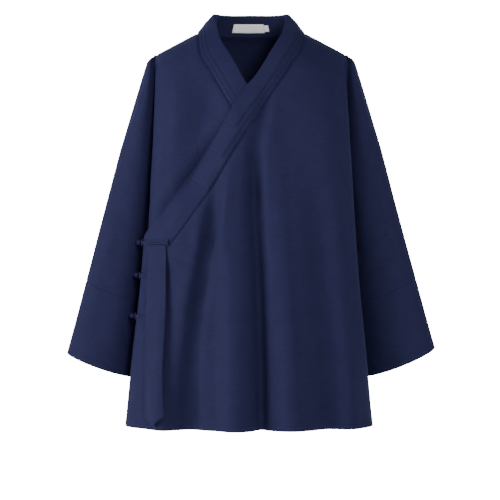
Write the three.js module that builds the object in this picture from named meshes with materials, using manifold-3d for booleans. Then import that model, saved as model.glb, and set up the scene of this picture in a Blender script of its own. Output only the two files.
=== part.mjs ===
// A cross-collar priest's robe, short cut, worn open-hemmed over a general figure. The wearer's left front
// laps over the right, its long stepped collar band runs down to three knotted frogs on the wearer's right
// side, and one ribbon hangs from the top frog. The upper sleeves are cut in one with the body panels.
// Millimetres, +Z up, +X to the wearer's left, the front of the robe faces -Y.
// The origin is in the middle of the neck opening, level with the neck ends of the shoulders.
import * as THREE from "three";
import { mergeVertices } from "three/addons/utils/BufferGeometryUtils.js";
import Module from "manifold-3d";

const { lerp, clamp, degToRad, smoothstep } = THREE.MathUtils;

// Cloth
const wall = 1.4; // a panel, and the doubled base band
const stepWall = 1.0; // each raised step of the collar
const seamShift = 0.17; // each panel stops this far short of a seam
const bandSink = 0.8; // the band's inner face lies this far under the panels' outer face
const bandGap = { lying: 1.05, turning: 1.9, standing: 1.3 }; // from the panels' edge to the band's seam
const stepGap = 0.35; // air between one collar step and the next
const overlapLift = 7.5; // the outer front stands this far off the under front

// Overall cut
const armpitZ = -262;
const hemZ = -775;
const underHemRise = 8; // the under front is cut shorter
const ridgeY = 5; // the shoulder line, front to back
const sideTurn = 112; // degrees round the section from centre front to the side seam
const freeEdgeTurn = 88; // where the outer front ends, on the wearer's right
const slitTopZ = -590;
const slitTurn = 2.2; // degrees that each slit edge opens at the hem
const frontSquareness = 2.3; // superellipse powers of the torso section
const backSquareness = 2.0;

// Torso sections
const torsoTable = [
  { z: armpitZ, halfWidth: 196, front: -118, back: 106, widest: -35 },
  { z: -415, halfWidth: 205, front: -117, back: 98, widest: -33 },
  { z: -510, halfWidth: 213, front: -119, back: 100, widest: -30 },
  { z: -628, halfWidth: 227, front: -123, back: 108, widest: -27 },
  { z: hemZ, halfWidth: 242, front: -127, back: 118, widest: -25 },
];

// Shoulder line: from the neck to the shoulder, then the short turn over the arm
const shoulder = { neckX: 107, neckZ: 5.5, edgeX: 186, seamX: 192, slope: 0.52, endX: 209, endZ: -52 };
const valley = { front: 38, back: 42, startTurn: 80 }; // how far the armhole crease stands off the armpit
const loftFullness = { frontNeck: 2.3, frontShoulder: 2.2, backNeck: 3.0, backShoulder: 2.2 };

// Sleeves, from the armpit level (0) to the cuff (1)
const sleeveInner = { top: [181.7, 18, armpitZ], cuff: [229, 24, -682] };
const sleeveOuter = { top: [262, 4, -230], cuff: [368, 2, -628] };
const sleeveTable = [
  { along: 0, front: 50, back: 50 },
  { along: 0.35, front: 45, back: 46 },
  { along: 0.7, front: 44, back: 45 },
  { along: 1, front: 47, back: 47 },
];
const sleeveSeamAlong = 0.648;
const cuffBow = 6;
const cuffDrop = 5.5; // the wearer's right wrist hangs this much lower, and the left this much higher
const underarmSharpness = 1.5; // 1 is round, more is pointed

// Folds: each runs from its top to the hem and grows all the way. A positive depth is a ridge.
const frontFolds = [
  { name: "under the ribbon", topX: -112, topZ: -395, hemX: -172, width: 26, depth: 13 },
  { name: "beside the ribbon", topX: -83, topZ: -330, hemX: -110, width: 24, depth: -19 },
  { name: "left of centre", topX: -28, topZ: -190, hemX: -27, width: 27, depth: 21 },
  { name: "centre", topX: 6, topZ: -190, hemX: 24, width: 21, depth: -20 },
  { name: "right of centre", topX: 60, topZ: -200, hemX: 82, width: 28, depth: 14 },
  { name: "right", topX: 112, topZ: -260, hemX: 146, width: 26, depth: -13 },
  { name: "far right", topX: 150, topZ: -320, hemX: 192, width: 22, depth: 7 },
];
const backFolds = [
  { name: "far left", topX: -140, topZ: -300, hemX: -172, width: 28, depth: 11 },
  { name: "left", topX: -96, topZ: -240, hemX: -118, width: 26, depth: -14 },
  { name: "left of centre", topX: -44, topZ: -210, hemX: -56, width: 30, depth: 15 },
  { name: "centre", topX: 4, topZ: -250, hemX: 8, width: 26, depth: -15 },
  { name: "right of centre", topX: 52, topZ: -220, hemX: 68, width: 30, depth: 16 },
  { name: "right", topX: 104, topZ: -260, hemX: 126, width: 26, depth: -13 },
  { name: "far right", topX: 146, topZ: -320, hemX: 178, width: 26, depth: 9 },
];

// The collar band from its end at the top frog, up the outer front, round the neck and down the under front.
// Seam is where it joins the panels, edge is its free side. Stand is 0 where it lies flat, 1 where it stands.
// The rows at the side of the neck are on the shoulder line.
const bandTable = [
  { at: "frog end", face: "front", seamX: -153, seamZ: -416, edgeX: -205, edgeZ: -411, edgeY: 0, stand: 0 },
  { at: "lower", face: "front", seamX: -131, seamZ: -386, edgeX: -182, edgeZ: -371, edgeY: 0, stand: 0 },
  { at: "third step", face: "front", seamX: -81, seamZ: -316, edgeX: -124, edgeZ: -287, edgeY: 0, stand: 0 },
  { at: "second step", face: "front", seamX: -44, seamZ: -258, edgeX: -85, edgeZ: -231, edgeY: 0, stand: 0 },
  { at: "first step", face: "front", seamX: -13, seamZ: -207, edgeX: -52, edgeZ: -182, edgeY: 0, stand: 0 },
  { at: "crossing", face: "front", seamX: 34, seamZ: -136, edgeX: -6, edgeZ: -111, edgeY: 0, stand: 0 },
  { at: "upper front", face: "front", seamX: 74, seamZ: -74, edgeX: 35, edgeZ: -50, edgeY: -78, stand: 0 },
  { at: "front neck", face: "front", seamX: 99, seamZ: -29, edgeX: 60, edgeZ: -4, edgeY: -50, stand: 0.3 },
  { at: "side neck", face: "front", seamX: 107, seamZ: 5.5, edgeX: 71.5, edgeZ: 40.5, edgeY: -4, stand: 1 },
  { at: "side back", face: "back", seamX: 90, seamZ: 6, edgeX: 60, edgeZ: 47, edgeY: 42, stand: 1 },
  { at: "back", face: "back", seamX: 46, seamZ: 4, edgeX: 34, edgeZ: 50, edgeY: 60, stand: 1 },
  { at: "centre back", face: "back", seamX: 0, seamZ: 4, edgeX: 0, edgeZ: 51, edgeY: 64, stand: 1 },
  { at: "back", face: "back", seamX: -46, seamZ: 4, edgeX: -34, edgeZ: 50, edgeY: 60, stand: 1 },
  { at: "side back", face: "back", seamX: -90, seamZ: 6, edgeX: -60, edgeZ: 47, edgeY: 42, stand: 1 },
  { at: "side neck", face: "front", seamX: -107, seamZ: 5.5, edgeX: -71.5, edgeZ: 40.5, edgeY: -4, stand: 1 },
  { at: "front neck", face: "front", seamX: -103, seamZ: -36, edgeX: -61, edgeZ: -12, edgeY: -52, stand: 0.3 },
  { at: "upper front", face: "front", seamX: -80, seamZ: -83, edgeX: -36, edgeZ: -57, edgeY: -82, stand: 0 },
  { at: "crossing", face: "front", seamX: -51, seamZ: -133, edgeX: -9, edgeZ: -107, edgeY: 0, stand: 0 },
  { at: "crossing end", face: "front", seamX: -30, seamZ: -168, edgeX: 13, edgeZ: -142, edgeY: 0, stand: 0 },
  { at: "hidden", face: "front", seamX: 16, seamZ: -244, edgeX: 60, edgeZ: -218, edgeY: 0, stand: 0 },
  { at: "under end", face: "front", seamX: 60, seamZ: -318, edgeX: 104, edgeZ: -292, edgeY: 0, stand: 0 },
];
const neckRows = { left: 8, right: 14 };
const bandAcross = [0, 0.04, 0.2, 0.39, 0.7, 1]; // where the band and its steps are divided
const bandPerRow = 2;

// The raised steps, widest and lowest first. Each covers the band from one of its divisions to its free edge.
const collarSteps = [
  { name: "collar_step_wide", first: 2, last: 18, from: 1 },
  { name: "collar_step_middle", first: 3, last: 18, from: 2 },
  { name: "collar_step_narrow", first: 4, last: 18, from: 3 },
];

// Ribbon under the top frog
const ribbonTable = [
  { z: -419, leftX: -204, rightX: -164.5, leftLift: 1.5, rightLift: 1.3 },
  { z: -445, leftX: -202, rightX: -164, leftLift: 3, rightLift: 3.6 },
  { z: -470, leftX: -202, rightX: -164, leftLift: 5.8, rightLift: 7 },
  { z: -560, leftX: -205, rightX: -164, leftLift: 6, rightLift: 9 },
  { z: -680, leftX: -206, rightX: -165, leftLift: 6, rightLift: 10 },
  { z: -749, leftX: -206, rightX: -165.5, leftLift: 6, rightLift: 10 },
];
const ribbonPointZ = -769;

// Frogs: a ball knot on the wearer's side, and a doubled cord that loops round its neck
const frogTable = [
  { name: "top", z: -414, lift: 3.0, endX: -161 },
  { name: "middle", z: -479, lift: 2.2, endX: -172 },
  { name: "bottom", z: -560, lift: 2.2, endX: -172 },
];
const cordRadius = 1.6;
const cordSpacing = 3.6;
const eyeRadius = 5.6;
const eyeReach = 6; // from the panel's edge to the middle of the eye
const barEndTurn = 5; // the short end that turns up and down at the bar's end
const ballRadius = 5.6;
const ballLift = 6.2; // from the loop's level to the middle of the ball
const knotDip = 3.2; // how far the ball's own cord dips under the loop
const tailTurns = [96, 102];

// Blank woven label inside the collar
const label = { left: -37, right: 27, bottom: 0.24, top: 0.62, wall: 1.0, gap: 0.4 };
const tab = { width: 9, bottom: 0.29, top: 0.57, gap: 0.4 };

// How finely each piece is divided
const parts = { bodyRows: 16, sleeveColumns: 8, sleeveRows: 4, sleeveEndRows: 3 };

// A value of one column of a table, with smooth monotone joins between its rows
function read(table, key, column, at) {
  const last = table.length - 1;
  const rising = table[last][key] > table[0][key];
  let i = 0;
  while (i < last - 1 && (rising ? at > table[i + 1][key] : at < table[i + 1][key])) i += 1;
  const slope = (n) => (table[n + 1][column] - table[n][column]) / (table[n + 1][key] - table[n][key]);
  const tangent = (n) => {
    if (n === 0) return slope(0);
    if (n === last) return slope(last - 1);
    const before = slope(n - 1);
    const after = slope(n);
    return before * after <= 0 ? 0 : (2 * before * after) / (before + after);
  };
  const span = table[i + 1][key] - table[i][key];
  const t = clamp((at - table[i][key]) / span, 0, 1);
  const rise = t * t * (3 - 2 * t);
  return (
    lerp(table[i][column], table[i + 1][column], rise) +
    span * (t * (1 - t) ** 2 * tangent(i) - t * t * (1 - t) * tangent(i + 1))
  );
}

const torsoAt = (z, column) => read(torsoTable, "z", column, clamp(z, hemZ, armpitZ));
const power = (value, exponent) => Math.sign(value) * Math.abs(value) ** exponent;

// A point of the torso's section at a height. Turn is in degrees from the centre front.
function torsoSection(z, turn) {
  const angle = degToRad(turn);
  const widest = torsoAt(z, "widest");
  const facing = Math.cos(angle);
  const side = facing > 0 ? "front" : "back";
  const roundness = 2 / (facing > 0 ? frontSquareness : backSquareness);
  const depth = Math.abs(torsoAt(z, side) - widest);
  const y = widest - depth * power(facing, roundness);
  return new THREE.Vector3(torsoAt(z, "halfWidth") * power(Math.sin(angle), roundness), y, z);
}

// How far the folds stand out at a place
function foldDepth(face, x, z) {
  let depth = 0;
  for (const fold of face === "front" ? frontFolds : backFolds) {
    const grown = clamp((fold.topZ - z) / (fold.topZ - hemZ), 0, 1.05);
    const middle = lerp(fold.topX, fold.hemX, grown);
    const height = fold.depth * grown ** 0.8 * smoothstep(grown, 0, 0.25);
    depth += height * Math.exp(-(((x - middle) / fold.width) ** 2));
  }
  return depth;
}

// Moves a torso point out by its folds, and fades them at the side seams
function folded(face, point, across) {
  const halfWidth = torsoAt(point.z, "halfWidth");
  const widest = torsoAt(point.z, "widest");
  const depth = torsoAt(point.z, face) - widest;
  const outward = new THREE.Vector3(point.x / halfWidth ** 2, (point.y - widest) / depth ** 2, 0);
  const amount = foldDepth(face, point.x, point.z) * (1 - Math.abs(across) ** 6);
  return point.addScaledVector(outward.normalize(), amount);
}

// Torso columns run from -1 at the wearer's right side seam to 1 at the left one
function turnOf(face, across, z) {
  const open = slitTurn * clamp((slitTopZ - z) / (slitTopZ - hemZ), 0, 1);
  if (face === "front") return across * (sideTurn - open);
  return 180 * Math.sign(across || 1) - across * (180 - sideTurn - open);
}

const ridgeHeight = (x) =>
  x < shoulder.neckX
    ? shoulder.neckZ + ((shoulder.slope * shoulder.neckX) / 2) * (1 - (x / shoulder.neckX) ** 2)
    : shoulder.neckZ - shoulder.slope * (x - shoulder.neckX);

// The shoulder line above a column: torso columns to 1, sleeve columns from 1 to 2
function ridgePoint(face, column) {
  const side = Math.sign(column);
  const reach = Math.abs(column);
  if (reach > 1) {
    const t = reach - 1;
    const z = lerp(ridgeHeight(shoulder.seamX), shoulder.endZ, t ** 1.4);
    return new THREE.Vector3(side * lerp(shoulder.seamX, shoulder.endX, t), ridgeY, z);
  }
  const turn = face === "front" ? reach * sideTurn : 180 - reach * (180 - sideTurn);
  const beyond = clamp((face === "front" ? turn - 90 : 112 - turn) / 22, 0, 1);
  const sine = Math.sin(degToRad(turn));
  const x =
    face === "front"
      ? turn < 90
        ? shoulder.edgeX * power(sine, 2 / frontSquareness)
        : lerp(shoulder.edgeX, shoulder.seamX, beyond)
      : shoulder.seamX * (sine / Math.sin(degToRad(sideTurn))) ** (2 / backSquareness);
  const held = Math.min(x, shoulder.seamX);
  return new THREE.Vector3(side * held, ridgeY, ridgeHeight(held));
}

// Sleeve columns run from 0 at the underarm seam to 1 at the outer fold
function sleevePoint(face, side, across, along) {
  const end = (line) => new THREE.Vector3(...line.top).lerp(new THREE.Vector3(...line.cuff), along);
  const point = end(sleeveInner).lerp(end(sleeveOuter), (1 - Math.cos(Math.PI * across)) / 2);
  const round = Math.sin(Math.PI * across);
  const depth = read(sleeveTable, "along", face, along) * round ** lerp(underarmSharpness, 1, across);
  point.y += face === "front" ? -depth : depth;
  point.z -= (cuffBow * round + cuffDrop * side * -across) * along ** 2;
  point.x *= side;
  return point;
}

// One point of the garment's outer face. Column is -2 to 2, with the torso within 1. Level is -1 at the hem
// or the cuff, 0 at the armpits and 1 on the shoulder line.
function clothPoint(face, column, level, part) {
  const side = Math.sign(column) || 1;
  const reach = Math.abs(column);
  const onSleeve = part === "sleeve" || reach > 1;
  if (level <= 0) {
    if (onSleeve) return sleevePoint(face, side, reach - 1, -level);
    const z = lerp(armpitZ, hemZ, -level);
    return folded(face, torsoSection(z, turnOf(face, column, z)), column);
  }
  const low = onSleeve
    ? sleevePoint(face, side, reach - 1, 0)
    : torsoSection(armpitZ, turnOf(face, column, armpitZ));
  const ridge = ridgePoint(face, column || 1e-9);
  const shoulderShare = clamp(reach, 0, 1) ** 2;
  const fullness = lerp(loftFullness[face + "Neck"], loftFullness[face + "Shoulder"], shoulderShare);
  const angle = (level * Math.PI) / 2;
  const rise = Math.sin(angle) ** (2 / fullness);
  const point = new THREE.Vector3(
    lerp(low.x, ridge.x, rise),
    lerp(ridge.y, low.y, Math.cos(angle) ** (2 / fullness)),
    lerp(low.z, ridge.z, rise),
  );
  const creaseStart = valley.startTurn / sideTurn;
  const crease = onSleeve ? (2 - reach) ** 2 : smoothstep(reach, creaseStart, 1);
  point.y += (face === "front" ? -valley.front : valley.back) * crease * Math.sin(Math.PI * level);
  return onSleeve ? point : folded(face, point, column);
}

// Halving search for where a rising or falling function crosses zero
function solve(low, high, value) {
  const rising = value(high) > value(low);
  for (let n = 0; n < 26; n += 1) {
    const middle = (low + high) / 2;
    if (value(middle) > 0 === rising) high = middle;
    else low = middle;
  }
  return (low + high) / 2;
}

// The column and level of the outer face at a place seen from the front or the back
function placeOn(face, x, z) {
  let column = 0.4 * Math.sign(x || 1);
  let level = 0;
  const widestColumn = face === "front" ? 90 / sideTurn : 0.99;
  for (let n = 0; n < 8; n += 1) {
    level = solve(-1.03, 0.999, (v) => clothPoint(face, column, v).z - z);
    column = solve(-widestColumn, widestColumn, (c) => clothPoint(face, c, level).x - x);
  }
  return { column, level };
}

function normalAt(face, column, level) {
  const step = 0.004;
  const across = clothPoint(face, column + step, level).sub(clothPoint(face, column - step, level));
  const higher = Math.min(level + step, 1);
  const up = clothPoint(face, column, higher).sub(clothPoint(face, column, level - step));
  return across.cross(up).normalize().multiplyScalar(face === "front" ? 1 : -1);
}

// A point moved out along the outer face's own direction there
const raised = (face, column, level, lift) =>
  clothPoint(face, column, level).addScaledVector(normalAt(face, column, level), lift);

// The outer front stands off the under front, and comes back to the seams at its side and the shoulder
const outerLift = (x, level) =>
  overlapLift * (1 - smoothstep(x, 92, 188)) * smoothstep(0.92 - level, 0, 0.5);

// A closed solid from a sheet of four-sided cells: an outer face, an inner face and a wall round free edges
function sheetSolid(cells, outer, inner) {
  const count = outer.length;
  const positions = [...outer, ...inner].flatMap((p) => [p.x, p.y, p.z]);
  const index = [];
  const edges = new Map();
  for (const [a, b, c, d] of cells) {
    index.push(a, b, c, a, c, d, count + a, count + c, count + b, count + a, count + d, count + c);
    for (const [from, to] of [[a, b], [b, c], [c, d], [d, a]]) {
      if (edges.has(`${to} ${from}`)) edges.delete(`${to} ${from}`);
      else edges.set(`${from} ${to}`, [from, to]);
    }
  }
  for (const [from, to] of edges.values()) index.push(from, count + from, count + to, from, count + to, to);
  const geometry = new THREE.BufferGeometry();
  geometry.setAttribute("position", new THREE.Float32BufferAttribute(positions, 3));
  geometry.setIndex(index);
  return geometry;
}

// A rectangular net of cells over points that are stored row by row
function netCells(columns, rows, closed = false) {
  const cells = [];
  const width = closed ? columns : columns + 1;
  for (let i = 0; i < rows; i += 1) {
    for (let j = 0; j < columns; j += 1) {
      const next = closed ? (j + 1) % columns : j + 1;
      cells.push([i * width + j, i * width + next, (i + 1) * width + next, (i + 1) * width + j]);
    }
  }
  return cells;
}

const turnedOver = (cells) => cells.map(([a, b, c, d]) => [a, d, c, b]);

const placeKey = (p) => [p.x, p.y, p.z].map((value) => Math.round(value * 50)).join(" ");
const faceNormal = (p, q, r, s) => r.clone().sub(p).cross(s.clone().sub(q));

// Directions in which each point's wall is measured, shared by all sheets that meet at a point
function sharedNormals(sheets) {
  const sums = new Map();
  for (const sheet of sheets) {
    for (const cell of sheet.cells) {
      const normal = faceNormal(...cell.map((n) => sheet.points[n])).normalize();
      for (const n of cell) {
        const key = placeKey(sheet.points[n]);
        if (!sums.has(key)) sums.set(key, []);
        sums.get(key).push(normal);
      }
    }
  }
  const armpits = new Set([1, -1].map((side) => placeKey(clothPoint("front", side, 0, "torso"))));
  return (point) => {
    const key = placeKey(point);
    if (armpits.has(key)) return new THREE.Vector3(0, 0, -1);
    const normals = sums.get(key);
    const mean = normals.reduce((sum, n) => sum.add(n), new THREE.Vector3()).normalize();
    const agreement = normals.reduce((sum, n) => sum + n.dot(mean), 0) / normals.length;
    return mean.divideScalar(Math.max(agreement, 0.62));
  };
}

// Moves the border of a sheet back from its seams, towards the sheet's own middle
function seamShifts(sheet) {
  const used = new Map();
  for (const cell of sheet.cells) {
    cell.forEach((from, k) => {
      const to = cell[(k + 1) % 4];
      const key = [Math.min(from, to), Math.max(from, to)].join(" ");
      used.set(key, (used.get(key) ?? 0) + 1);
    });
  }
  const border = new Set();
  for (const [key, times] of used) if (times === 1) key.split(" ").forEach((n) => border.add(Number(n)));
  const pulls = sheet.points.map(() => new THREE.Vector3());
  for (const key of used.keys()) {
    const [a, b] = key.split(" ").map(Number);
    const between = sheet.points[b].clone().sub(sheet.points[a]).normalize();
    if (border.has(a) && !border.has(b)) pulls[a].add(between);
    if (border.has(b) && !border.has(a)) pulls[b].sub(between);
  }
  for (const cell of sheet.cells) {
    const middle = cell.reduce((sum, n) => sum.addScaledVector(sheet.points[n], 0.25), new THREE.Vector3());
    for (const n of cell) {
      if (border.has(n) && pulls[n].lengthSq() === 0) pulls[n].copy(middle).sub(sheet.points[n]);
    }
  }
  return pulls.map((pull) => (pull.lengthSq() > 0 ? pull.setLength(seamShift) : pull));
}

const evenly = (from, to, count) => Array.from({ length: count + 1 }, (_, n) => lerp(from, to, n / count));

// A body panel: torso columns, with the upper sleeves that are cut in one with it
function bodySheet({ face, torsoColumns, topOf, sleeves, liftOf = () => 0, riseOf = () => 0 }) {
  const points = [];
  const lifts = [];
  const cells = [];
  const rows = parts.bodyRows;
  const middle = rows / 2;
  const add = (column, level, part) => {
    points.push(clothPoint(face, column, level, part));
    lifts.push(liftOf(points.at(-1).x, level));
    return points.length - 1;
  };
  const cell = (a, b, c, d) => cells.push(face === "front" ? [a, b, c, d] : [a, d, c, b]);
  const fill = (grid, firstRow) => {
    for (let j = 0; j + 1 < grid.length; j += 1) {
      for (let i = firstRow; i + 1 < grid[j].length; i += 1) {
        cell(grid[j][i], grid[j + 1][i], grid[j + 1][i + 1], grid[j][i + 1]);
      }
    }
  };
  const torso = torsoColumns.map((column) =>
    evenly(-1, topOf(column), rows).map((level, i) =>
      add(column, i === 0 ? -1 + riseOf(column) / (armpitZ - hemZ) : level, "torso"),
    ),
  );
  fill(torso, 0);
  for (const side of sleeves) {
    const shared = side > 0 ? torso.at(-1) : torso[0];
    const columns = evenly(1, 2, parts.sleeveColumns);
    const upper = columns.map((column, j) =>
      evenly(0, 1, middle).map((level, i) =>
        j === 0 ? shared[middle + i] : add(side * column, level, "sleeve"),
      ),
    );
    const lower = columns.map((column, j) =>
      evenly(-sleeveSeamAlong, 0, parts.sleeveRows).map((level, i) =>
        i === parts.sleeveRows ? upper[j][0] : add(side * column, level, "sleeve"),
      ),
    );
    fill(side > 0 ? upper : upper.toReversed(), 0);
    fill(side > 0 ? lower : lower.toReversed(), 0);
  }
  return { points, lifts, cells };
}

const columnAtRidge = (face, x) => solve(0, 1, (c) => ridgePoint(face, c + 1e-9).x - x);
const neckColumn = {
  front: columnAtRidge("front", shoulder.neckX),
  back: columnAtRidge("back", shoulder.neckX),
};
const freeColumn = -freeEdgeTurn / sideTurn;

// Where a row of the band lies on a face: the column and level of its seam and of its free edge
function rowOnFace(face, n) {
  const row = bandTable[n];
  const side = Math.sign(row.seamX);
  if (n === neckRows.left || n === neckRows.right) {
    const edgeColumn = side * columnAtRidge(face, Math.abs(row.edgeX));
    return { ...row, n, seamColumn: side * neckColumn[face], seamLevel: 1, edgeColumn, edgeLevel: 1 };
  }
  const seam = placeOn(face, row.seamX, row.seamZ);
  const edge = face === "back" ? seam : placeOn(face, row.edgeX, row.edgeZ);
  const edgeColumn = n === 0 ? freeColumn : edge.column;
  return { ...row, n, seamColumn: seam.column, seamLevel: seam.level, edgeColumn, edgeLevel: edge.level };
}
const rowsOnFace = (face, first, last) => evenly(first, last, last - first).map((n) => rowOnFace(face, n));
const bandRuns = {
  outer: rowsOnFace("front", 0, neckRows.left),
  back: rowsOnFace("back", neckRows.left, neckRows.right),
  under: rowsOnFace("front", neckRows.right, bandTable.length - 1),
};

// The highest level of a torso column: the shoulder line, the band's seam, or the band's end beyond it
function topLevel(face, run, column) {
  const rows = bandRuns[run];
  const end = run === "outer" ? rows[0] : rows.at(-1);
  const rightward = rows.at(-1).seamColumn > rows[0].seamColumn;
  const [low, high] = rightward ? [rows[0], rows.at(-1)] : [rows.at(-1), rows[0]];
  const pastEnd = run === "outer" ? column < low.seamColumn + 1e-6 : column > high.seamColumn - 1e-6;
  if (run !== "back" && pastEnd) {
    const share = (column - end.seamColumn) / (end.edgeColumn - end.seamColumn);
    return lerp(end.seamLevel, end.edgeLevel, share) - (2 * bandGap.lying) / (armpitZ - hemZ);
  }
  if (column <= low.seamColumn || column >= high.seamColumn) return 1;
  const along = solve(rows[0].n, rows.at(-1).n, (n) => read(rows, "n", "seamColumn", n) - column);
  const start = Math.floor(along * bandPerRow) / bandPerRow;
  const [from, to] = [start, start + 1 / bandPerRow].map((n) =>
    clothPoint(face, read(rows, "n", "seamColumn", n), read(rows, "n", "seamLevel", n)),
  );
  const near = read(rows, "n", "seamLevel", along);
  const across = to.sub(from).cross(normalAt(face, column, near)).normalize();
  const upward = clothPoint(face, column, near).sub(clothPoint(face, column, near - 0.01));
  if (upward.dot(across) < 0) across.negate();
  const stand = read(rows, "n", "stand", along);
  const turning = lerp(bandGap.lying, bandGap.turning, clamp(stand / 0.3, 0, 1));
  const gap = lerp(turning, bandGap.standing, clamp((stand - 0.3) / 0.7, 0, 1));
  const past = (level) => clothPoint(face, column, level).sub(from).dot(across) + gap;
  return solve(near - 0.06, Math.min(near + 0.03, 1), past);
}

const neckEdge = shoulder.neckX + bandGap.standing;
const shoulderSpots = evenly(columnAtRidge("front", neckEdge), 1, 9);
const shoulderColumns = {
  front: shoulderSpots,
  back: shoulderSpots.map((column) =>
    column === 1 ? 1 : columnAtRidge("back", ridgePoint("front", column).x),
  ),
};
const mirrored = (columns) => columns.map((column) => -column).toReversed();
const between = (from, to, count) => evenly(from, to, count).slice(1, -1);
const bandEnd = bandRuns.outer[0].seamColumn;
const underEnd = bandRuns.under.at(-1);

const sheets = {
  front_outer: bodySheet({
    face: "front",
    torsoColumns: [
      ...evenly(freeColumn, bandEnd, 5),
      ...between(bandEnd, shoulderColumns.front[0], 24),
      ...shoulderColumns.front,
    ],
    topOf: (column) => topLevel("front", "outer", column),
    sleeves: [1],
    liftOf: outerLift,
  }),
  front_under: bodySheet({
    face: "front",
    torsoColumns: [
      ...mirrored(shoulderColumns.front),
      ...between(-shoulderColumns.front[0], underEnd.seamColumn, 17),
      ...evenly(underEnd.seamColumn, underEnd.edgeColumn, 3),
    ],
    topOf: (column) => topLevel("front", "under", column),
    sleeves: [-1],
    riseOf: (column) => underHemRise * smoothstep(column, -1, freeColumn),
  }),
  back: bodySheet({
    face: "back",
    torsoColumns: [
      ...mirrored(shoulderColumns.back),
      ...between(-shoulderColumns.back[0], shoulderColumns.back[0], 20),
      ...shoulderColumns.back,
    ],
    topOf: (column) => topLevel("back", "back", column),
    sleeves: [-1, 1],
  }),
};

// The sleeve end: one tube from the seam on the forearm to the cuff
function sleeveEndSheet(side) {
  const front = evenly(0, 1, parts.sleeveColumns);
  const back = front.toReversed().slice(1, -1);
  const round = [...front.map((q) => ["front", q]), ...back.map((q) => ["back", q])];
  const ordered = side > 0 ? round : round.toReversed();
  const points = evenly(1, sleeveSeamAlong, parts.sleeveEndRows).flatMap((along) =>
    ordered.map(([face, q]) => sleevePoint(face, side, q, along)),
  );
  const cells = netCells(ordered.length, parts.sleeveEndRows, true);
  return { points, lifts: points.map(() => 0), cells };
}
sheets.sleeve_end_left = sleeveEndSheet(1);
sheets.sleeve_end_right = sleeveEndSheet(-1);

// A point of the band, from how far it is along the table and how far across: 0 at the seam, 1 at the edge
function bandPoint(along, across) {
  const run = along <= neckRows.left ? "outer" : along < neckRows.right ? "back" : "under";
  const face = run === "back" ? "back" : "front";
  const value = (column) => read(bandRuns[run], "n", column, along);
  const settle = (share) => {
    const column = lerp(value("seamColumn"), value("edgeColumn"), share);
    const level = lerp(value("seamLevel"), value("edgeLevel"), share);
    const point = clothPoint(face, column, level);
    return run === "outer" ? raised(face, column, level, outerLift(point.x, level)) : point;
  };
  const edge = new THREE.Vector3(value("edgeX"), value("edgeY"), value("edgeZ"));
  const standing = settle(0).lerp(edge, across);
  const stand = value("stand");
  return stand >= 1 ? standing : settle(across).lerp(standing, stand);
}

// A sheet over part of the band, which keeps the band's own divisions and directions
const lastRow = bandTable.length - 1;
const bandNormals = sharedNormals([bandSheet(0, lastRow, 0)]);
function bandSheet(first, last, from) {
  const across = bandAcross.slice(from);
  const count = (last - first) * bandPerRow;
  const points = evenly(first, last, count).flatMap((along) =>
    across.map((share) => bandPoint(along, share)),
  );
  return { points, cells: turnedOver(netCells(across.length - 1, count)) };
}

function raisedSolid(sheet, low, high, normalOf = sharedNormals([sheet])) {
  const at = (height) => sheet.points.map((p) => p.clone().addScaledVector(normalOf(p), height));
  return sheetSolid(sheet.cells, at(high), at(low));
}

const material = (color, roughness) => new THREE.MeshStandardMaterial({ color, roughness, metalness: 0 });
const finishes = {
  cloth: material(0x2b3150, 0.85),
  band: material(0x2e3454, 0.8),
  cord: material(0x31385c, 0.7),
  label: material(0xe4e2de, 0.6),
};

const robe = new THREE.Group();
function place(name, geometry, finish) {
  const mesh = new THREE.Mesh(geometry, finishes[finish]);
  mesh.name = name;
  robe.add(mesh);
}

// Panels and sleeve ends
const bodyNormals = sharedNormals(Object.values(sheets));
for (const [name, sheet] of Object.entries(sheets)) {
  const shifts = seamShifts(sheet);
  const lifted = (p, lift) => p.clone().addScaledVector(bodyNormals(p), lift);
  const at = (depth) => sheet.points.map((p, n) => lifted(p, sheet.lifts[n] - depth).add(shifts[n]));
  place(name, sheetSolid(sheet.cells, at(0), at(wall)), "cloth");
}

// Collar band and its steps
const wholeBand = bandSheet(0, lastRow, 0);
place("collar_band", raisedSolid(wholeBand, -bandSink, wall - bandSink, bandNormals), "band");
collarSteps.forEach((step, n) => {
  const low = wall - bandSink + stepGap + n * (stepWall + stepGap);
  const sheet = bandSheet(step.first, step.last, step.from);
  place(step.name, raisedSolid(sheet, low, low + stepWall, bandNormals), "band");
});

// A point at a place seen from the front, raised over the outer front
function overFront(x, z, lift) {
  let spot = { x, z };
  let point;
  for (let n = 0; n < 4; n += 1) {
    const { column, level } = placeOn("front", spot.x, spot.z);
    point = raised("front", column, level, outerLift(spot.x, level) + lift);
    spot = { x: spot.x + x - point.x, z: spot.z + z - point.z };
  }
  return point;
}

// Ribbon: straight sides and a pointed end
function ribbonSheet() {
  const last = ribbonTable.at(-1);
  const heights = [...evenly(ribbonTable[0].z, last.z, 12)];
  const acrossCount = 4;
  const points = heights.flatMap((z) =>
    evenly(0, 1, acrossCount).map((across) => {
      const value = (column) => read(ribbonTable, "z", column, z);
      const x = lerp(value("leftX"), value("rightX"), across);
      return overFront(x, z, lerp(value("leftLift"), value("rightLift"), across));
    }),
  );
  const width = acrossCount + 1;
  const tipRow = evenly(0, 1, acrossCount).map((across) => {
    const drop = (1 - Math.abs(across - 0.5) * 2) * (last.z - ribbonPointZ);
    const x = lerp(last.leftX, last.rightX, across);
    const lift = lerp(last.leftLift, last.rightLift, across);
    return overFront(x, last.z - drop - 0.4, lift);
  });
  points.push(...tipRow);
  return { points, cells: turnedOver(netCells(acrossCount, points.length / width - 1)) };
}
place("ribbon", raisedSolid(ribbonSheet(), -wall / 2, wall / 2), "cloth");

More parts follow.
